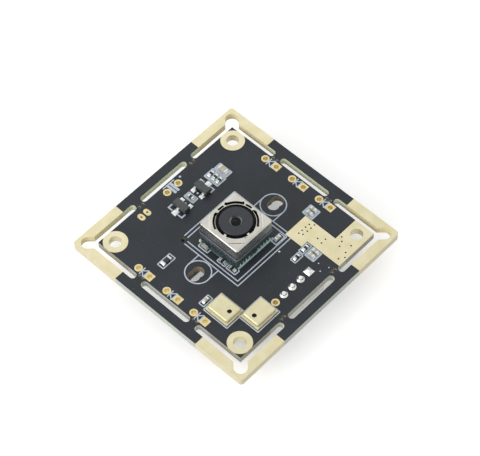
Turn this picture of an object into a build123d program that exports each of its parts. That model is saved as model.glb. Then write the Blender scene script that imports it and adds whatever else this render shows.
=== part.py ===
"""A small autofocus camera board.

A square circuit board carries an autofocus lens module in its middle, two microphones, a few
chip parts and, on its back, the image processor, its memory and crystal, and a cable socket.
A rail that can be broken off runs round the board, held by eight narrow tabs.

Millimetres. The origin is on the optical axis, on the board's front face. The lens looks
along +Z, the cable socket points along -Z and sits towards -Y.
"""

import os
from math import sqrt

from build123d import *

os.makedirs("parts", exist_ok=True)

# The board and its break-off rail
board_side = 38.0
board_thickness = 1.4
board_corner_r = 0.6
rail_width = 1.75
slot_width = 1.25
slot_end_r = 0.55
tab_centre = 6.05
tab_width = 1.5
bite_d = 0.5
bite_pitch = 0.8
corner_hole_inset = 1.8
corner_hole_d = 2.3
rail_corner_length = 10.0

# Copper pads, plated holes and printed lines
plating = 0.04
barrel_wall = 0.05
print_thickness = 0.02
line = 0.2

# Screw holes of the board and of a lens holder
screw_inset = 2.0
screw_hole_d = 2.2
screw_pad_d = 4.2
holder_pitch = 19.0
holder_hole_d = 2.1
holder_hole_shift = 1.0
holder_ring_d = 4.4
locating_hole_d = 0.8
locating_hole_place = 6.15
holder_outline = 13.1
holder_inline = 11.8

# Solder pads along the edges, the row of the cable socket and the bare pad
pad_d = 1.42
pad_hole_d = 0.85
pad_from_edge = 1.0
left_pair_centres = (6.4, 0.0, -6.05)
right_pair_centres = (6.1, 0.0, -6.05)
pair_pitch = 2.5
top_pair_x = 0.1
top_pair_pitch = 2.6
top_pair_from_edge = 1.35
oval_pad_d = 1.0
oval_pad_length = 1.5
oval_hole_d = 0.4
oval_pads_x = (-7.65, -6.3)
oval_from_edge = 1.7
pin_pitch = 2.0
pin_count = 4
first_pin_x = -2.7
pin_row_from_edge = 2.9
bare_pad_left = 6.05
bare_pad_right = 11.0
bare_pad_step = 7.45
bare_pad_top = -5.4
bare_pad_shelf = -9.0
bare_pad_arm = -12.0
via_d = 0.3
via_places = (
    (7.7, -6.9), (8.5, -6.9), (9.35, -6.9), (10.15, -7.0), (8.0, -7.55), (8.95, -7.65),
    (9.8, -7.7), (10.65, -7.7), (9.05, -9.85), (8.8, -10.9), (9.8, -10.9), (11.95, -12.55),
    (11.3, -13.15), (10.35, -13.5), (8.4, -15.0), (10.1, -15.05), (11.7, -14.8), (9.3, -15.6),
)

# The lens module, from the board up
substrate_side = 8.5
substrate_thickness = 0.9
castellation_d = 0.36
castellation_pitch = 0.7
castellations = 11
castellation_land = 0.3
sensor_length = 6.0
sensor_width = 4.8
sensor_thickness = 0.3
holder_side = 8.3
holder_height = 1.2
holder_wall = 0.7
holder_web = 0.3
filter_length = 6.2
filter_width = 5.2
filter_thickness = 0.21
filter_seat = 0.25
window_rim = 0.5

# The focus motor
can_side = 8.5
can_wall = 0.2
can_corner_r = 0.35
can_edge_r = 0.2
can_opening_gap = 0.44
# Bites out of the opening's edge, and teeth that stand into it, as (direction, depth, width)
can_bites = ((279.0, 0.17, 0.7),)
can_teeth = ((190.0, 0.24, 0.4), (263.0, 0.24, 0.4))
# Slots round the opening as (start, end, distance from the opening, gap), and the hooks at their
# ends as (angle of the end, distance from the opening, direction, length)
can_slots = (
    (23.5, 69.0, 0.48, 0.34), (106.6, 156.8, 0.36, 0.26), (-60.8, -12.0, 0.38, 0.26),
    (77.0, 95.0, 0.39, 0.2), (-1.0, 16.5, 0.44, 0.2),
)
can_hooks = (
    (23.5, 0.48, 45.0, 0.4), (69.0, 0.48, 45.0, 0.4), (106.6, 0.36, 135.0, 0.25),
    (106.6, 0.36, 315.0, 0.25), (-60.8, 0.38, 315.0, 0.3), (-12.0, 0.38, 315.0, 0.2),
    (-12.0, 0.38, 135.0, 0.3),
)
can_hook_width = 0.28
can_corner_step = 0.1
can_corner_step_at = 4.45
can_corner_step_angle = 135
fit_gap = 0.03
motor_base_height = 0.4
motor_base_opening_d = 5.4
spring_thickness = 0.05
spring_head_gap = 0.07
spring_ring_width = 0.35
spring_frame_hole_d = 7.9
spring_arm = 0.14
spring_arm_angle = 60.0
magnet_height = 1.7
magnet_face_at = 4.0
magnet_face_width = 3.0
magnet_corner_cut = 0.5
coil_height = 1.16
coil_wall = 0.26
carrier_d = 7.0
carrier_bore_d = 5.24
carrier_flange = 0.2
carrier_flange_height = 0.22
focus_travel = 0.3
travel_clearance = 0.1

# The lens
barrel_d = 5.2
barrel_head_d = 5.6
barrel_head_height = 0.86
barrel_head_chamfer = 0.08
barrel_face = 0.34
barrel_foot = 0.2
aperture_d = 1.6
aperture_mouth_d = 2.1
front_bore_d = 2.7
rear_bore_d = 3.8
front_lens_thickness = 0.5
rear_lens_thickness = 0.4
rear_lenses = 3
lens_sag = 0.14
lens_gap = 0.02
lens_hollow_r = 1.4

# Microphones: a base board with a metal lid
microphone_length = 4.72
microphone_width = 3.76
microphone_base_height = 0.3
microphone_lid_height = 0.8
microphone_lid_inset = 0.17
microphone_lid_wall = 0.15
microphone_lid_corner_r = 0.36
microphone_lid_edge_r = 0.3
microphone_port_d = 0.8
microphone_port_from_centre = 1.18
microphone_outline_gap = 0.22
microphone_land_ring = 0.35
microphone_sensor_side = 1.2
microphone_sensor_height = 0.4
microphone_amplifier = (1.1, 0.9)
microphone_amplifier_height = 0.25
microphone_from_corner = ((4.58, 7.87, 90.0), (7.91, 3.28, 0.0))

# Three-lead transistors
transistor_width = 1.3
transistor_length = 2.9
transistor_height = 0.95
body_stand_off = 0.08
transistor_pitch = 1.9
transistor_lead_width = 0.42
transistor_lead_reach = 0.55
transistor_lands = (0.8, 0.85)
transistor_large_land = (1.2, 1.05)
transistor_land_start = 0.1
lead_thickness = 0.14
lead_knee = 0.2
draft_angle = 7.0
transistor_from_top = ((-1.8, 5.22, 0.0), (3.2, 5.25, 180.0))

# Chip resistors and capacitors as (x, y, turn), and their printed boxes as (x, y, width, height).
# The places near the upper edge are measured down from it.
small_chip = (1.0, 0.5)
large_chip = (1.6, 0.8)
chip_end = 0.26
chip_end_proud = 0.02
chip_land_length = 0.55
chip_land_reach = 0.22
resistor_height = 0.35
capacitor_height = 0.5
top_resistors = ((0.75, 4.95, 90.0), (6.45, 4.15, 0.0), (6.45, 5.1, 0.0), (6.45, 6.05, 0.0))
middle_resistors = ((3.95, -9.85, 0.0), (6.2, -9.7, 0.0), (-4.8, -1.55, 90.0), (-4.8, -3.7, 90.0))
small_capacitors = (
    (-4.8, 2.5, 90.0), (4.55, -5.1, 0.0), (-12.1, -4.7, 0.0), (11.75, -5.6, 90.0),
    (12.7, -5.6, 90.0), (5.8, -11.4, 90.0), (6.75, -11.4, 90.0),
)
large_resistors = ((-11.0, 5.25, 0.0),)
top_capacitors = ((8.4, 5.05, 90.0),)
top_boxes = (
    (0.75, 4.95, 1.2, 2.05), (6.45, 4.1, 2.1, 1.1), (6.45, 5.05, 2.1, 1.1), (6.45, 6.05, 2.1, 1.1),
    (8.45, 5.05, 1.4, 2.7),
)
middle_boxes = (
    (-11.0, 5.25, 2.8, 1.3),
    (-12.1, -4.7, 2.1, 1.05), (-4.8, 2.5, 1.05, 2.05), (-4.8, -1.55, 1.05, 1.7),
    (-4.8, -3.75, 1.05, 2.0), (4.55, -5.15, 2.1, 1.1), (12.2, -5.6, 2.05, 2.1),
    (3.95, -9.85, 1.9, 1.05), (6.2, -9.65, 2.1, 0.95), (6.25, -11.4, 2.05, 1.9),
)

# Printed signs: brackets by the transistors and the sign between each pair of pads
bracket_arm = 0.75
bracket_line = 0.26
bracket_box = (7.75, 3.05)
bracket_from_top = (0.675, 5.125)
print_dot_d = 0.42
top_dots = ((-0.7, 5.1), (2.15, 5.15), (2.55, 0.65))
middle_dots = ((2.9, -6.95),)
sign_width = 1.5
sign_height = 0.9
top_sign_bar = (0.5, 2.3)
top_sign_bars_x = (-0.3, 0.35)
top_sign_line = 2.7
top_sign_line_y = 1.0

# The cable socket on the back
socket_end = 1.95
socket_back = 1.7
socket_front = 2.8
socket_height = 4.5
socket_wall = 0.6
socket_floor = 1.2
socket_notch_width = 1.2
pin_side = 0.5
pin_tip = 0.1
pin_above_board = 0.55
pin_in_socket = 2.6
joint_d = 1.38
joint_height = 0.42
joint_top_d = 0.8
joint_top_side = 0.75

# The chips on the back
processor_side = 7.0
processor_height = 0.85
processor_paddle = 4.9
processor_place = (0.4, 1.6, 0.0)
land_length = 0.4
land_width = 0.25
land_pitch = 0.5
lands_a_side = 12
land_height = 0.05
memory_length = 5.3
memory_width = 5.2
memory_height = 1.75
memory_from_top = ((-8.1, 12.1, 0.0),)
memory_pitch = 1.27
memory_leads = 4
memory_lead_width = 0.4
memory_lead_reach = 1.25
memory_land = (1.0, 0.6)
crystal_length = 11.0
crystal_width = 4.6
crystal_height = 3.4
crystal_wall = 0.2
crystal_flange = 0.4
crystal_base_height = 0.6
crystal_from_top = ((0.4, 5.7, 0.0),)
crystal_lead_width = 0.6
crystal_lead_reach = 0.9
regulator_places = ((10.0, 8.2, 0.0), (10.0, 4.2, 0.0))
inductor_side = 3.0
inductor_height = 1.5
inductor_end = 0.7
inductor_place = (9.2, -4.6, 0.0)
back_capacitors = (
    (-1.6, -6.4, 0.0), (2.4, -6.4, 0.0), (5.6, 3.6, 90.0), (5.6, -0.4, 90.0),
    (-1.6, -4.2, 0.0), (2.4, -4.2, 0.0), (7.2, 8.2, 90.0), (7.2, 4.2, 90.0),
)

# Levels and half sizes that follow from the sizes above
board_back = -board_thickness
back_seat = board_back - plating
front_seat = plating
inner_side = board_side - 2 * (rail_width + slot_width)
inner_half = inner_side / 2
screw_at = inner_half - screw_inset
rail_inner_half = inner_half + slot_width
slot_centre = inner_half + slot_width / 2
middle_slot_half = tab_centre - tab_width / 2
corner_slot_start = tab_centre + tab_width / 2
substrate_top = front_seat + substrate_thickness
holder_top = substrate_top + holder_height
gap_over_carrier = focus_travel + travel_clearance
can_height = motor_base_height + 2 * spring_thickness + magnet_height + gap_over_carrier + can_wall
can_top = holder_top + can_height
can_under = can_top - can_wall
motor_side = can_side - 2 * can_wall - 2 * fit_gap
lower_spring_bottom = holder_top + motor_base_height
magnet_bottom = lower_spring_bottom + spring_thickness
magnet_top = magnet_bottom + magnet_height
upper_spring_top = magnet_top + spring_thickness
barrel_top = magnet_top + barrel_head_height
pair_x = inner_half - pad_from_edge
pairs = [(-pair_x, y) for y in left_pair_centres] + [(pair_x, y) for y in right_pair_centres]
pin_row_y = pin_row_from_edge - inner_half
pin_xs = [first_pin_x + pin_pitch * i for i in range(pin_count)]
spare_pin_x = first_pin_x - pin_pitch
socket_length = pin_pitch * (pin_count - 1) + 2 * socket_end
socket_x = (pin_xs[0] + pin_xs[-1]) / 2
can_opening_d = barrel_head_d + 2 * can_opening_gap
can_opening_r = can_opening_d / 2
spring_ring_hole_d = barrel_head_d + 2 * spring_head_gap
spring_ring_d = spring_ring_hole_d + 2 * spring_ring_width


def write(piece, name):
    """Label a finished piece and write it to its own file."""
    piece.part.label = name
    export_step(piece.part, f"parts/{name}.step")


def box_line(width, height):
    """The printed outline of a box, its line centred on the given size."""
    with BuildSketch() as ring:
        RectangleRounded(width + line, height + line, line)
        Rectangle(width - line, height - line, mode=Mode.SUBTRACT)
    return ring.sketch


def plated_holes(places, hole_d, outline):
    """Pads on both faces of the board, joined by the hole's plated wall."""
    with BuildPart() as pads:
        for level in (0, back_seat):
            with BuildSketch(Plane.XY.offset(level)):
                with Locations(*places):
                    add(outline)
            extrude(amount=plating)
        with BuildSketch(Plane.XY.offset(board_back)):
            with Locations(*places):
                Circle(hole_d / 2 + barrel_wall)
        extrude(amount=board_thickness)
        with Locations(*places):
            Hole(hole_d / 2)
    return pads.part


def spots(places, along=0.0, across=0.0):
    """The same spot of each of several parts that stand at (x, y, turn)."""
    return [Location((x, y, 0), (0, 0, turn)) * Location((along, across, 0)) for x, y, turn in places]


def chip_bodies(places, size, seat, height):
    """The ceramic bodies of chip parts. A negative height stands them on the board's back."""
    length, width = size
    with BuildPart() as bodies:
        with BuildSketch(Plane.XY.offset(seat)):
            with Locations(*spots(places)):
                Rectangle(length - 2 * chip_end, width)
        extrude(amount=height)
    return bodies.part


def chip_ends(places, size, seat, height):
    """The plated ends of chip parts."""
    length, width = size
    reach = (length - chip_end) / 2
    proud = chip_end_proud if height > 0 else -chip_end_proud
    with BuildPart() as ends:
        with BuildSketch(Plane.XY.offset(seat)):
            with Locations(*spots(places, reach), *spots(places, -reach)):
                Rectangle(chip_end, width + 2 * chip_end_proud)
        extrude(amount=height + proud)
    return ends.part


def chip_lands(places, size):
    """The outlines of the copper lands under the ends of chip parts."""
    length, width = size
    reach = length / 2 + chip_land_reach - chip_land_length / 2
    with BuildSketch() as lands:
        with Locations(*spots(places, reach), *spots(places, -reach)):
            Rectangle(chip_land_length, width + 2 * chip_end_proud)
    return lands.sketch


def moulded_body(length, width, height):
    """A moulded chip body over its seat, drafted both ways from its parting line."""
    waist = height / 2
    with BuildPart() as body:
        for amount in (waist, -waist):
            with BuildSketch(Plane.XY.offset(body_stand_off + waist)):
                Rectangle(width, length)
            extrude(amount=amount, taper=draft_angle)
    return body.part


def gull_lead(start, drop, reach, width):
    """A bent lead along +X: out of the body's side, down to the land and out again as a foot."""
    half = lead_thickness / 2
    with BuildPart() as lead:
        with BuildSketch(Plane.XZ):
            with BuildLine():
                Polyline(
                    (start, drop), (start + lead_knee, drop),
                    (start + lead_knee + half, half), (start + reach, half),
                )
            trace(line_width=lead_thickness)
        extrude(amount=width / 2, both=True)
    return lead.part


def from_top(places):
    """Places measured down from the inner board's upper edge, in the board's frame."""
    return [(x, inner_half - down, *rest) for x, down, *rest in places]


microphone_places = [(x - inner_half, y - inner_half, turn) for x, y, turn in microphone_from_corner]
transistor_places = from_top(transistor_from_top)
small_resistors = [*from_top(top_resistors), *middle_resistors]
large_capacitors = from_top(top_capacitors)
chip_boxes = [*from_top(top_boxes), *middle_boxes]
print_dots = [*from_top(top_dots), *middle_dots]
crystal_place = from_top(crystal_from_top)[0]
memory_place = from_top(memory_from_top)[0]

# Circuit board

with BuildSketch() as inner_square:
    Rectangle(inner_side, inner_side)

with BuildSketch() as middle_slots:
    with PolarLocations(slot_centre, 4):
        SlotOverall(2 * middle_slot_half, slot_width, rotation=90)

with BuildSketch() as corner_slots:
    arm = rail_inner_half - corner_slot_start
    arm_centre = (rail_inner_half + corner_slot_start) / 2
    hole_at = board_side / 2 - corner_hole_inset
    with PolarLocations(0, 4):
        with Locations((slot_centre, arm_centre)):
            RectangleRounded(slot_width, arm, slot_end_r)
        with Locations((arm_centre, slot_centre)):
            RectangleRounded(arm, slot_width, slot_end_r)
        with Locations((hole_at, hole_at)):
            Circle(corner_hole_d / 2)
        with Locations(((hole_at + inner_half) / 2, (hole_at + inner_half) / 2)):
            Rectangle((hole_at - inner_half) * sqrt(2), corner_hole_d, rotation=45)
    add(inner_square.sketch, mode=Mode.SUBTRACT)

with BuildSketch() as bites:
    with PolarLocations(inner_half, 4):
        with Locations((0, tab_centre), (0, -tab_centre)):
            with GridLocations(0, bite_pitch, 1, 2):
                Circle(bite_d / 2)

with BuildSketch() as holder_slots:
    with Locations((holder_pitch / 2, 0), (-holder_pitch / 2, 0)):
        with GridLocations(holder_hole_shift, 0, 2, 1):
            Circle(holder_hole_d / 2)

screw_places = [(-screw_at, screw_at), (screw_at, screw_at), (-screw_at, -screw_at)]
bare_pad_screw = (screw_at, -screw_at)
locating_place = (-locating_hole_place, locating_hole_place)
round_pads = [(x, y + pair_pitch / 2) for x, y in pairs]
square_pads = [(x, y - pair_pitch / 2) for x, y in pairs]
top_pads_y = inner_half - top_pair_from_edge
round_pads += [(top_pair_x + side * top_pair_pitch / 2, top_pads_y) for side in (-1, 1)]
round_pads += [(x, pin_row_y) for x in [spare_pin_x] + pin_xs[:-1]]
square_pads += [(pin_xs[-1], pin_row_y)]
oval_pads = [(x, inner_half - oval_from_edge) for x in oval_pads_x]

with BuildPart() as circuit_board:
    with BuildSketch(Plane.XY.offset(board_back)):
        RectangleRounded(board_side, board_side, board_corner_r)
        for cut in (middle_slots, corner_slots, bites, holder_slots):
            add(cut.sketch, mode=Mode.SUBTRACT)
        with Locations(*screw_places, bare_pad_screw):
            Circle(screw_hole_d / 2 + barrel_wall, mode=Mode.SUBTRACT)
        with Locations(*round_pads, *square_pads):
            Circle(pad_hole_d / 2 + barrel_wall, mode=Mode.SUBTRACT)
        with Locations(*oval_pads):
            Circle(oval_hole_d / 2 + barrel_wall, mode=Mode.SUBTRACT)
        with Locations(*via_places):
            Circle(via_d / 2, mode=Mode.SUBTRACT)
        with Locations(locating_place):
            Circle(locating_hole_d / 2, mode=Mode.SUBTRACT)
    extrude(amount=board_thickness)
write(circuit_board, "circuit_board")

# Bare plated corners of the rail, on both faces

with BuildPart() as corner_plating:
    for level in (0, back_seat):
        with BuildSketch(Plane.XY.offset(level)):
            with GridLocations(board_side, board_side, 2, 2):
                Rectangle(2 * rail_corner_length, 2 * rail_corner_length)
            with BuildSketch(mode=Mode.INTERSECT):
                RectangleRounded(board_side, board_side, board_corner_r)
            Rectangle(2 * rail_inner_half, 2 * rail_inner_half, mode=Mode.SUBTRACT)
            add(corner_slots.sketch, mode=Mode.SUBTRACT)
        extrude(amount=plating)
write(corner_plating, "corner_plating")

# Plated screw holes

with BuildSketch() as screw_pad:
    Circle(screw_pad_d / 2)

with BuildPart() as screw_hole_pads:
    add(plated_holes(screw_places, screw_hole_d, screw_pad.sketch))
    with BuildSketch(Plane.XY.offset(back_seat)):
        add(inner_square.sketch)
    extrude(amount=board_thickness + 2 * plating, mode=Mode.INTERSECT)
write(screw_hole_pads, "screw_hole_pads")

# The large bare pad round the fourth screw hole

with BuildSketch() as bare_pad_outline:
    with BuildLine():
        Polyline(
            (bare_pad_left, bare_pad_top), (bare_pad_right, bare_pad_top),
            (bare_pad_right, bare_pad_arm), (inner_half, bare_pad_arm),
            (inner_half, -inner_half), (bare_pad_step, -inner_half),
            (bare_pad_step, bare_pad_shelf), (bare_pad_left, bare_pad_shelf), close=True,
        )
    make_face()
    with Locations(*via_places):
        Circle(via_d / 2, mode=Mode.SUBTRACT)
    add(bites.sketch, mode=Mode.SUBTRACT)

with BuildPart() as bare_pad:
    with BuildSketch():
        add(bare_pad_outline.sketch)
    extrude(amount=plating)
    with BuildSketch(Plane.XY.offset(back_seat)):
        with Locations(bare_pad_screw):
            Circle(screw_pad_d / 2)
        add(inner_square.sketch, mode=Mode.INTERSECT)
    extrude(amount=plating)
    with BuildSketch(Plane.XY.offset(board_back)):
        with Locations(bare_pad_screw):
            Circle(screw_hole_d / 2 + barrel_wall)
    extrude(amount=board_thickness)
    with Locations(bare_pad_screw):
        Hole(screw_hole_d / 2)
write(bare_pad, "bare_pad")

# Solder pads with plated holes

with BuildSketch() as round_pad:
    Circle(pad_d / 2)
with BuildSketch() as square_pad:
    Rectangle(pad_d, pad_d)
with BuildSketch() as oval_pad:
    SlotOverall(oval_pad_length, oval_pad_d, rotation=90)

with BuildPart() as solder_pads:
    add(plated_holes(round_pads, pad_hole_d, round_pad.sketch))
    add(plated_holes(square_pads, pad_hole_d, square_pad.sketch))
    add(plated_holes(oval_pads, oval_hole_d, oval_pad.sketch))
write(solder_pads, "solder_pads")

# Printed lines

with BuildSketch() as pad_keep_out:
    with Locations(*round_pads):
        Circle(pad_d / 2)
    with Locations(*square_pads):
        Rectangle(pad_d, pad_d)
    add(bare_pad_outline.sketch)
    with Locations(locating_place):
        Circle(locating_hole_d)
    Rectangle(substrate_side + 2 * castellation_land, substrate_side + 2 * castellation_land)

with BuildSketch() as pair_sign:
    with Locations((0, sign_height / 2), (0, -sign_height / 2)):
        Rectangle(sign_width, line)
    with BuildLine():
        Line((-sign_width / 2, -sign_height / 2), (0, sign_height / 2))
    trace(line_width=line)
    with BuildLine():
        Line((sign_width / 2, -sign_height / 2), (0, sign_height / 2))
    trace(line_width=line)

with BuildSketch() as corner_brackets:
    with GridLocations(*bracket_box, 2, 2):
        Rectangle(2 * bracket_arm + bracket_line, bracket_line)
        Rectangle(bracket_line, 2 * bracket_arm + bracket_line)
    Rectangle(bracket_box[0] + bracket_line, bracket_box[1] + bracket_line, mode=Mode.INTERSECT)

with BuildSketch() as top_sign:
    with Locations(*[(x, 0) for x in top_sign_bars_x]):
        RectangleRounded(*top_sign_bar, line)
    with Locations((0, top_sign_line_y)):
        Rectangle(top_sign_line, line)

with BuildPart() as printed_lines:
    with BuildSketch():
        add(box_line(holder_outline, holder_outline))
        add(box_line(holder_inline, holder_inline))
        for side in (-1, 1):
            with Locations((side * (holder_pitch - holder_hole_shift) / 2, 0)):
                Circle(holder_ring_d / 2 + line / 2)
                Circle(holder_ring_d / 2 - line / 2, mode=Mode.SUBTRACT)
            run = (holder_pitch - holder_hole_shift - holder_outline) / 2
            with Locations((side * (holder_outline + run) / 2, 0)):
                with GridLocations(0, holder_ring_d, 1, 2):
                    Rectangle(run, line)
        for x, y, width, height in chip_boxes:
            with Locations((x, y)):
                add(box_line(width, height))
        for x, y, turn in microphone_places:
            with Locations(Location((x, y, 0), (0, 0, turn))):
                grow = 2 * microphone_outline_gap
                add(box_line(microphone_length + grow, microphone_width + grow))
        with Locations(*from_top([bracket_from_top])):
            add(corner_brackets.sketch)
        with Locations(*print_dots):
            Circle(print_dot_d / 2)
        with Locations(*pairs):
            add(pair_sign.sketch)
        with Locations((top_pair_x, top_pads_y)):
            add(top_sign.sketch)
        add(pad_keep_out.sketch, mode=Mode.SUBTRACT)
        add(holder_slots.sketch, mode=Mode.SUBTRACT)
        add(inner_square.sketch, mode=Mode.INTERSECT)
    extrude(amount=print_thickness)
write(printed_lines, "printed_lines")

# Lens module: its own little board, with half-round plated notches along its edges

with BuildPart() as module_substrate:
    with BuildSketch(Plane.XY.offset(front_seat)):
        Rectangle(substrate_side, substrate_side)
        with PolarLocations(substrate_side / 2, 4):
            with GridLocations(0, castellation_pitch, 1, castellations):
                Circle(castellation_d / 2, mode=Mode.SUBTRACT)
    extrude(amount=substrate_thickness)
write(module_substrate, "module_substrate")

with BuildPart() as image_sensor:
    with BuildSketch(Plane.XY.offset(substrate_top)):
        Rectangle(sensor_length, sensor_width)
    extrude(amount=sensor_thickness)
write(image_sensor, "image_sensor")

# Plastic holder over the sensor, with a seat for the filter

filter_floor = holder_top - filter_seat
with BuildPart() as sensor_holder:
    with BuildSketch(Plane.XY.offset(substrate_top)):
        Rectangle(holder_side, holder_side)
    extrude(amount=holder_height)
    with BuildSketch(Plane.XY.offset(substrate_top)):
        Rectangle(holder_side - 2 * holder_wall, holder_side - 2 * holder_wall)
    extrude(amount=holder_height - filter_seat - holder_web, mode=Mode.SUBTRACT)
    with BuildSketch(Plane.XY.offset(filter_floor)):
        Rectangle(filter_length + 2 * fit_gap, filter_width + 2 * fit_gap)
    extrude(amount=filter_seat, mode=Mode.SUBTRACT)
    with BuildSketch(Plane.XY.offset(filter_floor)):
        Rectangle(filter_length - 2 * window_rim, filter_width - 2 * window_rim)
    extrude(amount=-holder_web, mode=Mode.SUBTRACT)
write(sensor_holder, "sensor_holder")

with BuildPart() as infrared_filter:
    with BuildSketch(Plane.XY.offset(filter_floor)):
        Rectangle(filter_length, filter_width)
    extrude(amount=filter_thickness)
write(infrared_filter, "infrared_filter")

# Focus motor: base, lower spring, magnets, upper spring, spacer and can

with BuildPart() as motor_base:
    with BuildSketch(Plane.XY.offset(holder_top)):
        Rectangle(motor_side, motor_side)
        Circle(motor_base_opening_d / 2, mode=Mode.SUBTRACT)
    extrude(amount=motor_base_height)
    fillet(motor_base.edges().filter_by(Axis.Z).group_by(SortBy.LENGTH)[-1], can_corner_r)
write(motor_base, "motor_base")

arm_r = (spring_ring_d + spring_frame_hole_d) / 4
arm_end = Vector(arm_r, 0).rotate(Axis.Z, spring_arm_angle)
with BuildSketch() as spring_arm_shape:
    with BuildLine():
        Line((spring_ring_d / 2 - spring_arm, 0), (arm_r, 0))
        CenterArc((0, 0), arm_r, 0, spring_arm_angle)
        PolarLine(arm_end, spring_frame_hole_d / 2 - arm_r + spring_arm, spring_arm_angle)
    trace(line_width=spring_arm)

with BuildSketch() as leaf_spring:
    RectangleRounded(motor_side, motor_side, can_corner_r)
    Circle(spring_frame_hole_d / 2, mode=Mode.SUBTRACT)
    Circle(spring_ring_d / 2)
    Circle(spring_ring_hole_d / 2, mode=Mode.SUBTRACT)
    with PolarLocations(0, 4):
        add(spring_arm_shape.sketch)

with BuildPart() as lower_spring:
    with BuildSketch(Plane.XY.offset(lower_spring_bottom)):
        add(leaf_spring.sketch)
    extrude(amount=spring_thickness)
write(lower_spring, "lower_spring")

with BuildPart() as upper_spring:
    with BuildSketch(Plane.XY.offset(magnet_top)):
        add(leaf_spring.sketch)
    extrude(amount=spring_thickness)
write(upper_spring, "upper_spring")

corner_at = motor_side / sqrt(2)
half_face = magnet_face_width / 2
with BuildSketch() as magnet_outline:
    with BuildLine():
        Polyline(
            (magnet_face_at, -half_face), (corner_at - half_face, -half_face),
            (corner_at - magnet_corner_cut, -magnet_corner_cut),
            (corner_at - magnet_corner_cut, magnet_corner_cut),
            (corner_at - half_face, half_face), (magnet_face_at, half_face), close=True,
        )
    make_face()

with BuildPart() as magnets:
    with BuildSketch(Plane.XY.offset(magnet_bottom)):
        with PolarLocations(0, 4, start_angle=45):
            add(magnet_outline.sketch)
    extrude(amount=magnet_height)
write(magnets, "magnets")

with BuildPart() as spring_spacer:
    with BuildSketch(Plane.XY.offset(upper_spring_top)):
        RectangleRounded(motor_side, motor_side, can_corner_r)
        Circle(spring_frame_hole_d / 2, mode=Mode.SUBTRACT)
    extrude(amount=gap_over_carrier)
write(spring_spacer, "spring_spacer")

with BuildPart() as motor_can:
    with BuildSketch(Plane.XY.offset(holder_top)):
        RectangleRounded(can_side, can_side, can_corner_r)
    extrude(amount=can_height)
    fillet(motor_can.faces().sort_by(Axis.Z)[-1].edges(), can_edge_r)
    # Two opposite corners of the roof are pressed a little lower
    with BuildSketch(Plane.XY.offset(can_top - can_corner_step)):
        with PolarLocations(can_corner_step_at + can_side / 2, 2, start_angle=can_corner_step_angle):
            Rectangle(can_side, 2 * can_side)
    extrude(amount=can_corner_step, mode=Mode.SUBTRACT)
    with BuildSketch(Plane.XY.offset(holder_top)):
        inside = can_side - 2 * can_wall
        RectangleRounded(inside, inside, can_corner_r - fit_gap)
    extrude(amount=can_height - can_wall, mode=Mode.SUBTRACT)
    with BuildSketch(Plane.XY.offset(can_under)):
        Circle(can_opening_r)
        for direction, depth, width in can_bites:
            with PolarLocations(can_opening_r, 1, start_angle=direction):
                Rectangle(2 * depth, width)
        for direction, depth, width in can_teeth:
            with PolarLocations(can_opening_r, 1, start_angle=direction):
                Rectangle(2 * depth, width, mode=Mode.SUBTRACT)
        for slot_start, slot_end, ring_width, gap_width in can_slots:
            with BuildLine():
                CenterArc((0, 0), can_opening_r + ring_width, slot_start, slot_end - slot_start)
            trace(line_width=gap_width)
        for slot_end, ring_width, direction, hook_length in can_hooks:
            hook_start = Vector(can_opening_r + ring_width, 0).rotate(Axis.Z, slot_end)
            with BuildLine():
                PolarLine((hook_start.X, hook_start.Y), hook_length, direction)
            trace(line_width=can_hook_width)
    extrude(amount=can_wall, mode=Mode.SUBTRACT)
write(motor_can, "motor_can")

# The moving lens: carrier with its coil, and the barrel with its lenses

carrier_r = carrier_d / 2
with BuildPart() as lens_carrier:
    with BuildSketch(Plane.XY.offset(magnet_bottom)):
        Circle(carrier_r)
    extrude(amount=magnet_height)
    coil_floor = magnet_bottom + (magnet_height - coil_height) / 2
    for level in (coil_floor - carrier_flange_height, coil_floor + coil_height):
        with BuildSketch(Plane.XY.offset(level)):
            Circle(carrier_r + carrier_flange)
        extrude(amount=carrier_flange_height)
    with BuildSketch(Plane.XY.offset(magnet_bottom)):
        Circle(carrier_bore_d / 2)
    extrude(amount=magnet_height, mode=Mode.SUBTRACT)
write(lens_carrier, "lens_carrier")

with BuildPart() as focus_coil:
    with BuildSketch(Plane.XY.offset(coil_floor + fit_gap / 2)):
        Circle(carrier_r + coil_wall)
        Circle(carrier_r + fit_gap / 2, mode=Mode.SUBTRACT)
    extrude(amount=coil_height - fit_gap)
write(focus_coil, "focus_coil")

barrel_bottom = magnet_bottom + barrel_foot
face_bottom = barrel_top - barrel_face
front_lens_seat = face_bottom - front_lens_thickness
with BuildPart() as lens_barrel:
    with BuildSketch(Plane.XZ):
        with BuildLine():
            Polyline(
                (rear_bore_d / 2, barrel_bottom), (barrel_d / 2, barrel_bottom),
                (barrel_d / 2, magnet_top), (barrel_head_d / 2, magnet_top),
                (barrel_head_d / 2, barrel_top - barrel_head_chamfer),
                (barrel_head_d / 2 - barrel_head_chamfer, barrel_top),
                (aperture_mouth_d / 2, barrel_top), (aperture_d / 2, face_bottom),
                (front_bore_d / 2, face_bottom), (front_bore_d / 2, front_lens_seat),
                (rear_bore_d / 2, front_lens_seat), close=True,
            )
        make_face()
    revolve(axis=Axis.Z)
write(lens_barrel, "lens_barrel")

front_r = front_bore_d / 2 - lens_gap
cap_half = aperture_d / 2 - lens_gap
cap_r = (cap_half**2 + lens_sag**2) / (2 * lens_sag)
with BuildPart() as front_lens:
    with BuildSketch(Plane.XY.offset(front_lens_seat)):
        Circle(front_r)
    extrude(amount=front_lens_thickness)
    with BuildSketch(Plane.XZ) as cap:
        with Locations((0, face_bottom + lens_sag - cap_r)):
            Circle(cap_r)
        with Locations((cap_half / 2, face_bottom + lens_sag / 2)):
            Rectangle(cap_half, lens_sag, mode=Mode.INTERSECT)
    revolve(axis=Axis.Z)
write(front_lens, "front_lens")

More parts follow.
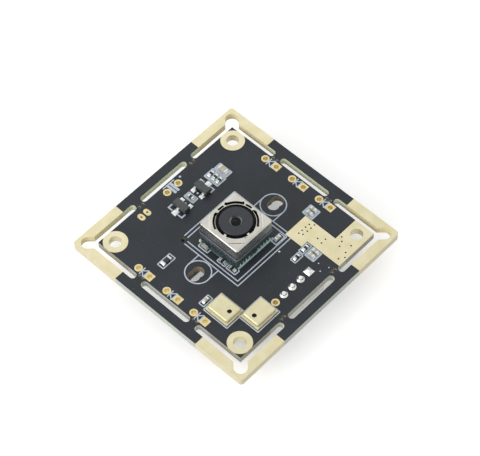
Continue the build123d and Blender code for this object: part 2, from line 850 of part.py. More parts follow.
rear_r = rear_bore_d / 2 - lens_gap
with BuildPart() as rear_lens_elements:
    for i in range(rear_lenses):
        top = front_lens_seat - i * rear_lens_thickness
        low = top - rear_lens_thickness + lens_gap
        with BuildSketch(Plane.XZ):
            with BuildLine():
                Polyline(
                    (0, low + lens_sag / 2), (lens_hollow_r, low), (rear_r, low), (rear_r, top),
                    (lens_hollow_r, top), (0, top - lens_sag / 2), close=True,
                )
            make_face()
        revolve(axis=Axis.Z)
write(rear_lens_elements, "rear_lens_elements")

# Microphones

lid_length = microphone_length - 2 * microphone_lid_inset
lid_width = microphone_width - 2 * microphone_lid_inset
for number, (x, y, turn) in enumerate(microphone_places, start=1):
    seat = Plane(origin=(x, y, front_seat)).rotated((0, 0, turn))
    top_of_base = seat.offset(microphone_base_height)

    with BuildPart() as microphone_base:
        with BuildSketch(seat):
            Rectangle(microphone_length, microphone_width)
        extrude(amount=microphone_base_height)
    write(microphone_base, f"microphone_base_{number}")

    with BuildPart() as microphone_lid:
        with BuildSketch(top_of_base):
            RectangleRounded(lid_length, lid_width, microphone_lid_corner_r)
        extrude(amount=microphone_lid_height)
        fillet(microphone_lid.faces().sort_by(Axis.Z)[-1].edges(), microphone_lid_edge_r)
        with BuildSketch(top_of_base):
            Rectangle(lid_length - 2 * microphone_lid_wall, lid_width - 2 * microphone_lid_wall)
        extrude(amount=microphone_lid_height - microphone_lid_wall, mode=Mode.SUBTRACT)
        with BuildSketch(top_of_base):
            with Locations((-microphone_port_from_centre, 0)):
                Circle(microphone_port_d / 2)
        extrude(amount=microphone_lid_height, mode=Mode.SUBTRACT)
    write(microphone_lid, f"microphone_lid_{number}")

    with BuildPart() as microphone_chips:
        with BuildSketch(top_of_base):
            with Locations((-microphone_port_from_centre, 0)):
                Rectangle(microphone_sensor_side, microphone_sensor_side)
        extrude(amount=microphone_sensor_height)
        with BuildSketch(top_of_base):
            with Locations((microphone_port_from_centre, 0)):
                Rectangle(*microphone_amplifier)
        extrude(amount=microphone_amplifier_height)
    write(microphone_chips, f"microphone_chips_{number}")

# Transistors on the front and regulators of the same size on the back

transistor_shape = moulded_body(transistor_length, transistor_width, transistor_height)
transistor_lead = gull_lead(
    transistor_width / 2, body_stand_off + transistor_height / 2,
    transistor_lead_reach, transistor_lead_width,
)
transistor_rows = ((0, transistor_pitch / 2), (0, -transistor_pitch / 2), (180, 0))


def transistor(place, name):
    """One small three-lead part at a place, in two pieces."""
    with BuildPart() as body:
        with Locations(place):
            add(transistor_shape)
    write(body, f"{name}_body")
    with BuildPart() as leads:
        with Locations(*[place * Location((0, row, 0), (0, 0, turn)) for turn, row in transistor_rows]):
            add(transistor_lead)
    write(leads, f"{name}_leads")


for number, (x, y, turn) in enumerate(transistor_places, start=1):
    transistor(Location((x, y, front_seat), (0, 0, turn)), f"transistor_{number}")
for number, (x, y, turn) in enumerate(regulator_places, start=1):
    transistor(Location((x, y, back_seat), (180, 0, turn)), f"regulator_{number}")

# Chip resistors and capacitors

with BuildPart() as resistor_bodies:
    add(chip_bodies(small_resistors, small_chip, front_seat, resistor_height))
    add(chip_bodies(large_resistors, large_chip, front_seat, resistor_height))
write(resistor_bodies, "resistor_bodies")

with BuildPart() as capacitor_bodies:
    add(chip_bodies(small_capacitors, small_chip, front_seat, capacitor_height))
    add(chip_bodies(large_capacitors, large_chip, front_seat, capacitor_height))
write(capacitor_bodies, "capacitor_bodies")

with BuildPart() as resistor_ends:
    add(chip_ends(small_resistors, small_chip, front_seat, resistor_height))
    add(chip_ends(large_resistors, large_chip, front_seat, resistor_height))
write(resistor_ends, "resistor_ends")

with BuildPart() as capacitor_ends:
    add(chip_ends(small_capacitors, small_chip, front_seat, capacitor_height))
    add(chip_ends(large_capacitors, large_chip, front_seat, capacitor_height))
write(capacitor_ends, "capacitor_ends")

with BuildPart() as back_capacitor_bodies:
    add(chip_bodies(back_capacitors, large_chip, back_seat, -capacitor_height))
write(back_capacitor_bodies, "back_capacitor_bodies")

with BuildPart() as back_capacitor_ends:
    add(chip_ends(back_capacitors, large_chip, back_seat, -capacitor_height))
write(back_capacitor_ends, "back_capacitor_ends")

# Copper lands that the parts are soldered to

inner_land = transistor_width / 2 + transistor_land_start
land_at = inner_land + transistor_lands[0] / 2
large_land_at = inner_land + transistor_large_land[0] / 2
half_pitch = transistor_pitch / 2

with BuildPart() as front_lands:
    with BuildSketch():
        add(chip_lands([*small_resistors, *small_capacitors], small_chip))
        add(chip_lands([*large_resistors, *large_capacitors], large_chip))
        with Locations(*spots(transistor_places, land_at, half_pitch)):
            Rectangle(*transistor_lands)
        with Locations(*spots(transistor_places, land_at, -half_pitch)):
            Rectangle(*transistor_lands)
        with Locations(*spots(transistor_places, -large_land_at)):
            Rectangle(*transistor_large_land)
        with Locations(*spots(microphone_places)):
            Rectangle(microphone_length, microphone_width)
            inside = 2 * microphone_land_ring
            Rectangle(microphone_length - inside, microphone_width - inside, mode=Mode.SUBTRACT)
        with PolarLocations(substrate_side / 2, 4):
            with GridLocations(0, castellation_pitch, 1, castellations):
                Rectangle(2 * castellation_land, castellation_d)
    extrude(amount=plating)
write(front_lands, "front_lands")

inductor_half = (inductor_side - inductor_end) / 2
with BuildPart() as back_lands:
    with BuildSketch(Plane.XY.offset(back_seat)):
        add(chip_lands(back_capacitors, large_chip))
        with Locations(*spots(regulator_places, land_at, half_pitch)):
            Rectangle(*transistor_lands)
        with Locations(*spots(regulator_places, land_at, -half_pitch)):
            Rectangle(*transistor_lands)
        with Locations(*spots(regulator_places, -large_land_at)):
            Rectangle(*transistor_large_land)
        foot_at = memory_width / 2 + memory_lead_reach - memory_land[0] / 2 + chip_end
        with Locations(*spots([memory_place], foot_at), *spots([memory_place], -foot_at)):
            with GridLocations(0, memory_pitch, 1, memory_leads):
                Rectangle(*memory_land)
        with Locations(*spots([crystal_place])):
            with GridLocations(crystal_length + 2 * crystal_flange, 0, 2, 1):
                Rectangle(2 * crystal_lead_reach, 2 * crystal_lead_width)
        with Locations(*spots([inductor_place], inductor_half), *spots([inductor_place], -inductor_half)):
            Rectangle(inductor_end, inductor_side)
    extrude(amount=plating)
write(back_lands, "back_lands")

# Cable socket on the back, its pins and their solder joints on the front

with BuildPart() as socket_housing:
    middle_y = pin_row_y + (socket_front - socket_back) / 2
    depth = socket_front + socket_back
    with BuildSketch(Plane.XY.offset(back_seat)):
        with Locations((socket_x, middle_y)):
            Rectangle(socket_length, depth)
    extrude(amount=-socket_height)
    with BuildSketch(Plane.XY.offset(back_seat - socket_floor)):
        with Locations((socket_x, middle_y)):
            Rectangle(socket_length - 2 * socket_wall, depth - 2 * socket_wall)
    extrude(amount=socket_floor - socket_height, mode=Mode.SUBTRACT)
    with BuildSketch(Plane.XY.offset(back_seat - socket_floor)):
        with Locations((socket_x, pin_row_y + socket_front)):
            with GridLocations(pin_pitch * 2, 0, 2, 1):
                Rectangle(socket_notch_width, 2 * socket_wall)
    extrude(amount=socket_floor - socket_height, mode=Mode.SUBTRACT)
    with BuildSketch(Plane.XY.offset(back_seat)):
        with Locations(*[(x, pin_row_y) for x in pin_xs]):
            Rectangle(pin_side, pin_side)
    extrude(amount=-socket_floor, mode=Mode.SUBTRACT)
write(socket_housing, "socket_housing")

with BuildPart() as socket_pins:
    with BuildSketch(Plane.XY.offset(pin_above_board)):
        with Locations(*[(x, pin_row_y) for x in pin_xs]):
            Rectangle(pin_side, pin_side)
    extrude(amount=-(pin_above_board - back_seat + socket_floor + pin_in_socket))
    chamfer(socket_pins.faces().filter_by(Axis.Z).edges(), pin_tip)
write(socket_pins, "socket_pins")

with BuildPart() as solder_joints:
    for x in pin_xs:
        square = x == pin_xs[-1]
        with BuildSketch(Plane.XY.offset(plating)):
            with Locations((x, pin_row_y)):
                if square:
                    Rectangle(pad_d, pad_d)
                else:
                    Circle(joint_d / 2)
        with BuildSketch(Plane.XY.offset(plating + joint_height)):
            with Locations((x, pin_row_y)):
                if square:
                    Rectangle(joint_top_side, joint_top_side)
                else:
                    Circle(joint_top_d / 2)
        loft()
    with BuildSketch(Plane.XY.offset(plating)):
        with Locations(*[(x, pin_row_y) for x in pin_xs]):
            Rectangle(pin_side, pin_side)
    extrude(amount=joint_height, mode=Mode.SUBTRACT)
write(solder_joints, "solder_joints")

# Image processor: a flat moulded body on rows of lands

with BuildPart() as processor_body:
    with BuildSketch(Plane.XY.offset(board_back - land_height)):
        with Locations(*spots([processor_place])):
            Rectangle(processor_side, processor_side)
    extrude(amount=-processor_height)
write(processor_body, "processor_body")

with BuildPart() as processor_lands:
    with BuildSketch(Plane.XY.offset(board_back)):
        with Locations(*spots([processor_place])):
            with PolarLocations((processor_side - land_length) / 2, 4):
                with GridLocations(0, land_pitch, 1, lands_a_side):
                    Rectangle(land_length, land_width)
            Rectangle(processor_paddle, processor_paddle)
    extrude(amount=-land_height)
write(processor_lands, "processor_lands")

# Program memory: a moulded body with four bent leads on each side

memory_at = Location((memory_place[0], memory_place[1], back_seat), (180, 0, memory_place[2]))
with BuildPart() as memory_body:
    with Locations(memory_at):
        add(moulded_body(memory_length, memory_width, memory_height))
write(memory_body, "memory_body")

memory_lead = gull_lead(
    memory_width / 2, body_stand_off + memory_height / 2, memory_lead_reach, memory_lead_width,
)
with BuildPart() as memory_lead_set:
    with Locations(memory_at, memory_at * Location((0, 0, 0), (0, 0, 180))):
        with GridLocations(0, memory_pitch, 1, memory_leads):
            add(memory_lead)
write(memory_lead_set, "memory_leads")

# Crystal: a drawn metal can on a plastic base, with two flat leads

lead_span = crystal_length + 2 * crystal_flange
with BuildPart() as crystal_base:
    with BuildSketch(Plane.XY.offset(back_seat)):
        with Locations(*spots([crystal_place])):
            Rectangle(lead_span, crystal_width + 2 * crystal_flange)
            with GridLocations(lead_span, 0, 2, 1):
                Rectangle(2 * crystal_lead_reach, crystal_lead_width + 2 * fit_gap, mode=Mode.SUBTRACT)
    extrude(amount=-crystal_base_height)
write(crystal_base, "crystal_base")

with BuildPart() as crystal_can:
    with BuildSketch(Plane.XY.offset(back_seat - crystal_base_height)):
        with Locations(*spots([crystal_place])):
            SlotOverall(crystal_length + crystal_flange, crystal_width + crystal_flange)
    extrude(amount=-crystal_wall)
    with BuildSketch(Plane.XY.offset(back_seat - crystal_base_height)):
        with Locations(*spots([crystal_place])):
            SlotOverall(crystal_length, crystal_width)
    extrude(amount=-crystal_height)
    fillet(crystal_can.faces().sort_by(Axis.Z)[0].edges(), crystal_flange)
write(crystal_can, "crystal_can")

with BuildPart() as crystal_leads:
    with BuildSketch(Plane.XY.offset(back_seat)):
        with Locations(*spots([crystal_place])):
            with GridLocations(lead_span, 0, 2, 1):
                Rectangle(2 * crystal_lead_reach - 2 * fit_gap, crystal_lead_width)
    extrude(amount=-lead_thickness)
write(crystal_leads, "crystal_leads")

# Power inductor: a square ferrite block between two plated ends

with BuildPart() as inductor_core:
    with BuildSketch(Plane.XY.offset(back_seat)):
        with Locations(*spots([inductor_place])):
            Rectangle(inductor_side - 2 * inductor_end, inductor_side)
    extrude(amount=-inductor_height)
write(inductor_core, "inductor_core")

with BuildPart() as inductor_ends:
    with BuildSketch(Plane.XY.offset(back_seat)):
        with Locations(*spots([inductor_place], inductor_half), *spots([inductor_place], -inductor_half)):
            Rectangle(inductor_end, inductor_side)
    extrude(amount=-inductor_height)
write(inductor_ends, "inductor_ends")
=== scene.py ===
# %% [markdown]
# # A small autofocus camera board
# The object is a square circuit board with a lens module in its middle. The solids come from the
# CAD model, already in place. This lesson lights them, gives each one the finish of the real
# part, and models what a CAD solid is too stiff for: solder, dried flux, glue and pressed sheet metal.
# Everything here is in metres, but a board is measured in millimetres, so one value converts them.

# %% Load the solids
from math import cos, radians, sin

import bpy
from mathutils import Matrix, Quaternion, Vector


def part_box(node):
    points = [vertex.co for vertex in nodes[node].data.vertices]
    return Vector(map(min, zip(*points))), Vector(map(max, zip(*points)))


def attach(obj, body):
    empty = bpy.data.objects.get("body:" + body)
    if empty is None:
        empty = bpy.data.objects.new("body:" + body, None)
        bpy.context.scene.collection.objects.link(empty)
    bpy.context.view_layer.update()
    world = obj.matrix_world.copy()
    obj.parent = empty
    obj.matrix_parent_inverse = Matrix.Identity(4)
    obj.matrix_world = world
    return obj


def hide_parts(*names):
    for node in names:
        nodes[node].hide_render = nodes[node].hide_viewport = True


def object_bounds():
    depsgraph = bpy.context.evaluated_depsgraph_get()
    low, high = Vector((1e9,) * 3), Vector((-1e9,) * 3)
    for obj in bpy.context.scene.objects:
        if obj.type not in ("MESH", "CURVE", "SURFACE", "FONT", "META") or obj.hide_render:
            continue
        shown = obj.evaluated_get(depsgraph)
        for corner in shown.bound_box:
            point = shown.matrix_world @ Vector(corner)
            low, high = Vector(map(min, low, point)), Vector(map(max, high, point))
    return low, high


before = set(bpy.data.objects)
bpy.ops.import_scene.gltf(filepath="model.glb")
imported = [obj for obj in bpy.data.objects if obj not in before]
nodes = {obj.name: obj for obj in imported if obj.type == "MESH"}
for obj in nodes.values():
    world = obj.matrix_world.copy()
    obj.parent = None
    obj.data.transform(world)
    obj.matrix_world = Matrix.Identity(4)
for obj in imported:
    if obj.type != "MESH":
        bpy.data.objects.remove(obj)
cad_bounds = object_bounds()
mm = 0.001
print("nodes:", len(nodes), "box:", cad_bounds)

# %% [markdown]
# ## The camera
# The photograph was taken from far away with a long lens, about 56 degrees above the board. The
# numbers were solved from the board's corners and holes, so the render lines up with the
# photograph. A camera looks down its own -Z axis: `to_track_quat` points that axis along the
# view, and a small turn about it adds the tilt of the horizon.

# %% Camera
image_width_px = 480
focal_length_px = 1963.0
view_from = Vector((-126.43, -123.13, 269.55)) * mm
view_along = Vector((0.39692, 0.38368, -0.83381))
horizon_tilt = radians(-0.967)

camera_data = bpy.data.cameras.new("photograph")
camera_data.sensor_width = 36.0
camera_data.lens = focal_length_px / image_width_px * camera_data.sensor_width
camera_data.clip_start = 10 * mm
camera = bpy.data.objects.new("photograph", camera_data)
camera.location = view_from
camera.rotation_mode = "QUATERNION"
camera.rotation_quaternion = view_along.to_track_quat("-Z", "Y") @ Quaternion((0, 0, 1), horizon_tilt)
bpy.context.collection.objects.link(camera)
bpy.context.scene.camera = camera
print("lens:", round(camera_data.lens, 1), "mm")

# %% [markdown]
# ## Colours and nodes
# Paint programs write a colour as an sRGB hex code, and Blender's sockets take linear numbers, so
# one function converts them. A second function adds a shader node: its settings, and for each
# input either a value or the output of another node to link. Four more add the nodes that come up
# most: a sum, a blend of two colours, a value moved to another range, and a cloud pattern.

# %% Helpers for colours and nodes
def colour(code):
    """The linear red, green, blue and alpha of an sRGB hex colour."""
    parts = [int(code[i:i + 2], 16) / 255 for i in (1, 3, 5)]
    linear = [p / 12.92 if p <= 0.04045 else ((p + 0.055) / 1.055) ** 2.4 for p in parts]
    return (*linear, 1.0)


def add_node(tree, kind, inputs, **settings):
    """Add a node. An input is a value, or another node's output socket to link."""
    node = tree.nodes.new(kind)
    for name, value in settings.items():
        setattr(node, name, value)
    for name, value in inputs.items():
        if isinstance(value, bpy.types.NodeSocket):
            tree.links.new(value, node.inputs[name])
        else:
            node.inputs[name].default_value = value
    return node


def calculate(tree, operation, *values):
    """The result of a math node."""
    return add_node(tree, "ShaderNodeMath", dict(enumerate(values)), operation=operation).outputs[0]


def mix(tree, share, first, second):
    """A blend of two colours: the first where share is 0, the second where it is 1."""
    inputs = {0: share, 6: first, 7: second}
    return add_node(tree, "ShaderNodeMix", inputs, data_type="RGBA").outputs[2]


def ramp(tree, value, low, high, start=0.0, end=1.0):
    """A value that goes from start, at low and below, to end, at high and above."""
    inputs = {"Value": value, 1: low, 2: high, 3: start, 4: end}
    return add_node(tree, "ShaderNodeMapRange", inputs).outputs[0]


def noise(tree, place, size_mm, detail=2.0):
    """A cloud pattern of this size. place is the output that gives the coordinates."""
    inputs = {"Vector": place, "Scale": 1 / (size_mm * mm), "Detail": detail}
    return add_node(tree, "ShaderNodeTexNoise", inputs).outputs["Fac"]


print("mid grey is", [round(v, 3) for v in colour("#808080")[:3]])

# %% [markdown]
# ## The studio
# The photograph has a pure white ground with a very faint shadow. More light would wash out the
# object, so the white comes from the ground itself: the floor scatters light as paper does, and
# the camera, mirrors and glass also see a little glow on it. The glow lifts the paper to white
# and leaves the shadow visible. The world is treated in the same way.

# %% Floor
floor_level = cad_bounds[0][2]
floor_side = 1.6
floor_glow = 0.35
paper_near = colour("#f2f2f2")
paper_far = colour("#e6e6e6")
white = colour("#ffffff")


def seen_directly(tree):
    """1 for what the camera, a mirror or glass sees, and 0 for light that is scattered."""
    rays = add_node(tree, "ShaderNodeLightPath", {})
    in_mirror = calculate(tree, "MAXIMUM", rays.outputs["Is Camera Ray"], rays.outputs["Is Glossy Ray"])
    return calculate(tree, "MAXIMUM", in_mirror, rays.outputs["Is Transmission Ray"])


bpy.ops.object.select_all(action="DESELECT")
bpy.ops.mesh.primitive_plane_add(size=floor_side, location=(0, 0, floor_level))
floor = bpy.context.object
floor.name = "floor"

paper = bpy.data.materials.new("white paper")
paper.use_nodes = True
tree = paper.node_tree
tree.nodes.clear()
seen = seen_directly(tree)
scatter = add_node(tree, "ShaderNodeBsdfDiffuse", {"Color": mix(tree, seen, paper_far, paper_near)})
shine = add_node(tree, "ShaderNodeEmission",
                 {"Color": white, "Strength": calculate(tree, "MULTIPLY", seen, floor_glow)})
both = add_node(tree, "ShaderNodeAddShader", {0: scatter.outputs[0], 1: shine.outputs[0]})
add_node(tree, "ShaderNodeOutputMaterial", {"Surface": both.outputs[0]})
floor.data.materials.append(paper)
print("floor at", round(floor_level / mm, 2), "mm")

# %% World
sky_strength = 0.74

world = bpy.data.worlds.new("studio")
world.use_nodes = True
bpy.context.scene.world = world
tree = world.node_tree
tree.nodes.clear()
strength = ramp(tree, seen_directly(tree), 0.0, 1.0, sky_strength, 1.0)
sky = add_node(tree, "ShaderNodeBackground", {"Color": white, "Strength": strength})
add_node(tree, "ShaderNodeOutputWorld", {"Surface": sky.outputs[0]})
bpy.context.scene.view_settings.view_transform = "Standard"
print("world:", world.name)

# %% [markdown]
# Two large soft boxes give the shapes a lit and a shaded side. The photograph's walls that face
# left are clearly paler than those that face right, so the main box stands on the left, and a
# much weaker one beyond the object. Both are far larger than the board, so their shadows have no
# edge.

# %% Soft boxes
def soft_box(name, place_mm, size_mm, watts):
    """A square area lamp that faces the board's middle."""
    lamp_data = bpy.data.lights.new(name, "AREA")
    lamp_data.size = size_mm * mm
    lamp_data.energy = watts
    lamp = bpy.data.objects.new(name, lamp_data)
    lamp.location = Vector(place_mm) * mm
    lamp.rotation_mode = "QUATERNION"
    lamp.rotation_quaternion = (-lamp.location).to_track_quat("-Z", "Y")
    bpy.context.collection.objects.link(lamp)


soft_box("key", place_mm=(-330, 60, 170), size_mm=240, watts=0.75)
soft_box("back", place_mm=(140, 280, 260), size_mm=260, watts=0.12)

# %% [markdown]
# ## Finishes
# Most parts of a board are one material with a fine grain. So one function makes the common
# part: two close colours that drift into each other, a grain that varies the gloss, and a slight
# bump. Sizes are given in millimetres. A value that is the same everywhere sits on the shader's
# own socket.

# %% The common part of a finish
def finish(name, colours, roughness, grain_mm, drift_mm=3.0, bump_mm=0.0, **sockets):
    """A material of two close colours with a fine grain. roughness is a lowest and highest value."""
    material = bpy.data.materials.new(name)
    material.use_nodes = True
    tree = material.node_tree
    shader = tree.nodes["Principled BSDF"]
    for socket, value in sockets.items():
        shader.inputs[socket.replace("_", " ")].default_value = value
    place = add_node(tree, "ShaderNodeTexCoord", {}).outputs["Object"]
    drift = noise(tree, place, drift_mm, detail=3.0)
    grain = noise(tree, place, grain_mm, detail=2.0)
    blend = mix(tree, ramp(tree, drift, 0.35, 0.65), colour(colours[0]), colour(colours[1]))
    tree.links.new(blend, shader.inputs["Base Color"])
    tree.links.new(ramp(tree, grain, 0.3, 0.7, *roughness), shader.inputs["Roughness"])
    if bump_mm:
        bump = add_node(tree, "ShaderNodeBump",
                        {"Height": grain, "Distance": bump_mm * mm, "Strength": 1.0})
        tree.links.new(bump.outputs[0], shader.inputs["Normal"])
    return material


def coat(thing, material):
    """Make this material the only one of an object."""
    thing.data.materials.clear()
    thing.data.materials.append(material)


def dress(material, *names):
    """Give CAD nodes a finish."""
    for name in names:
        coat(nodes[name], material)
    print(material.name, "->", ", ".join(names))


# %% [markdown]
# Some nodes show two materials, such as a lacquered face and a bare wall. Their finish then looks
# at the surface's own direction, or at how far a place is from the lens axis. Four helpers give
# the output that colours a finish, replace it, and give those two measures.

# %% Helpers for a finish in two parts
def open_finish(material):
    """A finish's node tree, the output that colours it, and a node with places and directions."""
    tree = material.node_tree
    own_colour = tree.nodes["Principled BSDF"].inputs["Base Color"].links[0].from_socket
    return tree, own_colour, add_node(tree, "ShaderNodeTexCoord", {})


def recolour(tree, output):
    """Let another output colour the finish."""
    tree.links.new(output, tree.nodes["Principled BSDF"].inputs["Base Color"])


def wall_share(tree, place):
    """1 on an upright wall, and 0 on a face that looks up or down."""
    facing = add_node(tree, "ShaderNodeSeparateXYZ", {0: place.outputs["Normal"]})
    return ramp(tree, calculate(tree, "ABSOLUTE", facing.outputs["Z"]), 0.4, 0.6, 1.0, 0.0)


def off_axis(tree, place, operation):
    """The distance from the lens axis along X or along Y: the MAXIMUM or the MINIMUM of the two."""
    where = add_node(tree, "ShaderNodeSeparateXYZ", {0: place.outputs["Object"]})
    across = calculate(tree, "ABSOLUTE", where.outputs["X"])
    along = calculate(tree, "ABSOLUTE", where.outputs["Y"])
    return calculate(tree, operation, across, along)


print("helpers ready")

# %% [markdown]
# ** Solder mask on glass-fibre laminate.** The board's faces carry a black, slightly blue lacquer with a satin shine. Its cut walls show the bare laminate, olive-grey glass and resin, and near the rail's bare corners they are coloured a warmer tan. The walls are also painted paler or darker zone by zone, for the light that falls on them: painted light and shade. One node has to show both, so the material looks at the surface's own direction: a face that looks up or down is lacquered, a wall isn't.

# %% Lacquer
board_finish = finish("black solder mask on laminate", ("#1a2026", "#20262d"), (0.42, 0.55), 0.12,
                      drift_mm=6.0, bump_mm=0.004, Specular_IOR_Level=0.4)
tree, lacquer, place = open_finish(board_finish)
most = off_axis(tree, place, "MAXIMUM")
least = off_axis(tree, place, "MINIMUM")
# Dust and fibre ends under the lacquer: a pale speck in some of the cells of a pattern
speck_cell = 1.0 * mm
cells = add_node(tree, "ShaderNodeTexVoronoi", {"Vector": place.outputs["Object"], "Scale": 1 / speck_cell})
speck = ramp(tree, cells.outputs["Distance"], 0.05, 0.1, 0.5, 0.0)
dusty = mix(tree, speck, lacquer, colour("#5a636b"))
# A brown colour is painted in patches round the bites, at the middle of each tab: the spots' places and half
# widths, along the rail and out from the axis
tab_along, tab_out = (6.05 * mm, 0.62 * mm), (15.8 * mm, 0.24 * mm)
at_tab = calculate(tree, "MULTIPLY", calculate(tree, "COMPARE", least, *tab_along),
                   calculate(tree, "COMPARE", most, *tab_out))
brown_patches = ramp(tree, noise(tree, place.outputs["Object"], 0.4), 0.42, 0.56, 0.0, 0.8)
brown_at_bites = calculate(tree, "MULTIPLY", at_tab, brown_patches)
lacquered = mix(tree, brown_at_bites, dusty, colour("#5f4c2c"))
print("lacquer:", board_finish.name)

# %% Bare walls
# From the middle outwards: a start in mm, the plain wall there, and the wall by the gold corners. Each
# zone's tone is painted light and shade: one laminate made paler or darker for the light on those walls
wall_tones_painted_for_light = ((15.0, "#b7b8b0", "#a39f92"), (16.6, "#dde2c0", "#e9dcac"), (18.5, "#b0b7aa", "#d3c9a9"))
by_corner = ramp(tree, least, 8.9 * mm, 9.1 * mm)
plain = gilded = colour("#877b63")
for start_mm, plain_code, gilded_code in wall_tones_painted_for_light:
    step = ramp(tree, most, start_mm * mm, (start_mm + 0.1) * mm)
    plain = mix(tree, step, plain, colour(plain_code))
    gilded = mix(tree, step, gilded, colour(gilded_code))
# Layers of glass cloth lie flat, so the pattern's clouds are pressed flat as well
fibres = add_node(tree, "ShaderNodeMapping", {"Vector": place.outputs["Object"], "Scale": (1, 1, 5)})
shade = ramp(tree, noise(tree, fibres.outputs[0], 0.35, detail=4.0), 0.3, 0.7, 0.86, 1.1)
streaked = add_node(tree, "ShaderNodeVectorMath", {0: mix(tree, by_corner, plain, gilded), 3: shade},
                    operation="SCALE")
recolour(tree, mix(tree, wall_share(tree, place), lacquered, streaked.outputs[0]))
dress(board_finish, "circuit_board")

# %% [markdown]
# **Plated gold.** Bare copper is protected by nickel and a very thin layer of gold. It is a pale
# creamy yellow, matt enough to look evenly lit, and slightly cloudy.

# %% Gold, print and lands
gold = finish("immersion gold", ("#d3cba5", "#dbd3b2"), (0.34, 0.5), 0.15, drift_mm=2.0, bump_mm=0.002,
              Metallic=1.0)
dress(gold, "corner_plating", "screw_hole_pads", "bare_pad")

ink = finish("white legend ink", ("#b0bbc8", "#c2ccd6"), (0.5, 0.7), 0.1, drift_mm=0.6, bump_mm=0.003)
dress(ink, "printed_lines")

tin = finish("soldered tin", ("#cfd2d0", "#e2e4e0"), (0.26, 0.42), 0.2, drift_mm=0.5, bump_mm=0.003,
             Metallic=0.65)
dress(tin, "front_lands", "back_lands", "resistor_ends", "capacitor_ends", "back_capacitor_ends",
      "transistor_1_leads", "transistor_2_leads", "regulator_1_leads", "regulator_2_leads",
      "memory_leads", "inductor_ends", "processor_lands", "crystal_leads", "solder_joints")

# %% [markdown]
# The small pads are plated through. Their rings are duller than the large gold fields. The plated walls of
# their holes, which only see the inside of the hole, look amber, and they are given a more saturated gold
# than the rings for it: a painted reflection. As on the board, the surface's direction tells the two apart.

# %% Small pads
pad_finish = finish("plated-through pad", ("#cdc092", "#dacfa8"), (0.36, 0.52), 0.15, drift_mm=0.8,
                    bump_mm=0.002, Metallic=1.0)
tree, ring_colour, place = open_finish(pad_finish)
# Painted reflection: the hole walls get a more saturated gold than the rings
recolour(tree, mix(tree, wall_share(tree, place), ring_colour, colour("#f6df98")))
dress(pad_finish, "solder_pads")

# %% [markdown]
# ** Sheet metal.** The motor's can is drawn from thin nickel silver, a warm grey with a satin polish. The microphone lids are brass with a pale gold plating, and the crystal's can is bright nickel. The camera looks down on their upright walls, which mirror the dark board beside them, so those walls look dark without any dark colour in the finish. The cut walls of the can's opening and slots, which are within a given distance of the lens axis, are painted dark brown: painted shade inside the opening and slots.

# %% Sheet metal
can_finish = finish("satin nickel silver", ("#bab8af", "#c4c2b9"), (0.26, 0.36), 0.1, drift_mm=1.6,
                    bump_mm=0.001, Metallic=1.0)
tree, sheet_colour, place = open_finish(can_finish)
# Painted shade: the cut walls of the opening and slots are coloured dark brown
within = ramp(tree, off_axis(tree, place, "MAXIMUM"), 4.1 * mm, 4.15 * mm, 1.0, 0.0)
painted_shade_in_cuts = calculate(tree, "MULTIPLY", wall_share(tree, place), within)
recolour(tree, mix(tree, painted_shade_in_cuts, sheet_colour, colour("#3d3126")))
dress(can_finish, "motor_can")

lid_finish = finish("gold-plated brass lid", ("#d3cba4", "#dad3b0"), (0.36, 0.44), 0.15, drift_mm=1.2,
                    bump_mm=0.001, Metallic=0.5)
dress(lid_finish, "microphone_lid_1", "microphone_lid_2")
nickel = finish("bright nickel", ("#c8c8c4", "#d6d5d0"), (0.15, 0.26), 0.1, drift_mm=1.5, bump_mm=0.002,
                Metallic=1.0)
dress(nickel, "crystal_can")
pin_finish = finish("tinned brass pin", ("#cfcabb", "#dedacd"), (0.2, 0.32), 0.06, drift_mm=0.4,
                    bump_mm=0.002, Metallic=1.0)
dress(pin_finish, "socket_pins")

# %% [markdown]
# ** Inside the lens module.** These parts hardly show, but each has its own finish: spring steel, nickel-coated magnets, enamelled copper wire, silicon and coated glass. The leaf springs alone are painted near black, for the shade in the gap under the can's opening: painted shade.

# %% Inside the module
# Painted shade: the leaf springs get a near-black colour instead of their copper colour
dress(finish("copper-alloy leaf spring in painted shade", ("#1d1a17", "#2a2520"), (0.4, 0.55), 0.05, drift_mm=0.8,
             bump_mm=0.001, Metallic=1.0), "upper_spring", "lower_spring")
dress(finish("nickel-coated magnet", ("#a9a9a6", "#bdbdba"), (0.25, 0.4), 0.08, drift_mm=0.8,
             bump_mm=0.002, Metallic=1.0), "magnets")
# The wire's brown is darker than enamelled copper: partly the enamel's own colour, partly painted shade
# inside the can
coil_finish = finish("enamelled copper wire", ("#6a3a1e", "#7d4826"), (0.25, 0.4), 0.1, drift_mm=0.5,
                     Metallic=1.0)
tree = coil_finish.node_tree
place = add_node(tree, "ShaderNodeTexCoord", {})
# Turns of thin wire lie side by side along the axis. At a scale of 0.314 a wave is 1 m long
wire = 0.05 * mm
turns = add_node(tree, "ShaderNodeTexWave", {"Vector": place.outputs["Object"], "Scale": 0.314 / wire},
                 bands_direction="Z")
ridges = add_node(tree, "ShaderNodeBump", {"Height": turns.outputs["Fac"], "Distance": 0.015 * mm})
tree.links.new(ridges.outputs[0], tree.nodes["Principled BSDF"].inputs["Normal"])
dress(coil_finish, "focus_coil")
dress(finish("polished silicon", ("#2b3038", "#3a3f4c"), (0.08, 0.15), 0.2, drift_mm=1.5, Metallic=0.6),
      "image_sensor", "microphone_chips_1", "microphone_chips_2")
dress(finish("coated filter glass", ("#7fa59a", "#8fb3a6"), (0.02, 0.06), 0.4, drift_mm=3.0,
             Transmission_Weight=0.9, IOR=1.52), "infrared_filter")
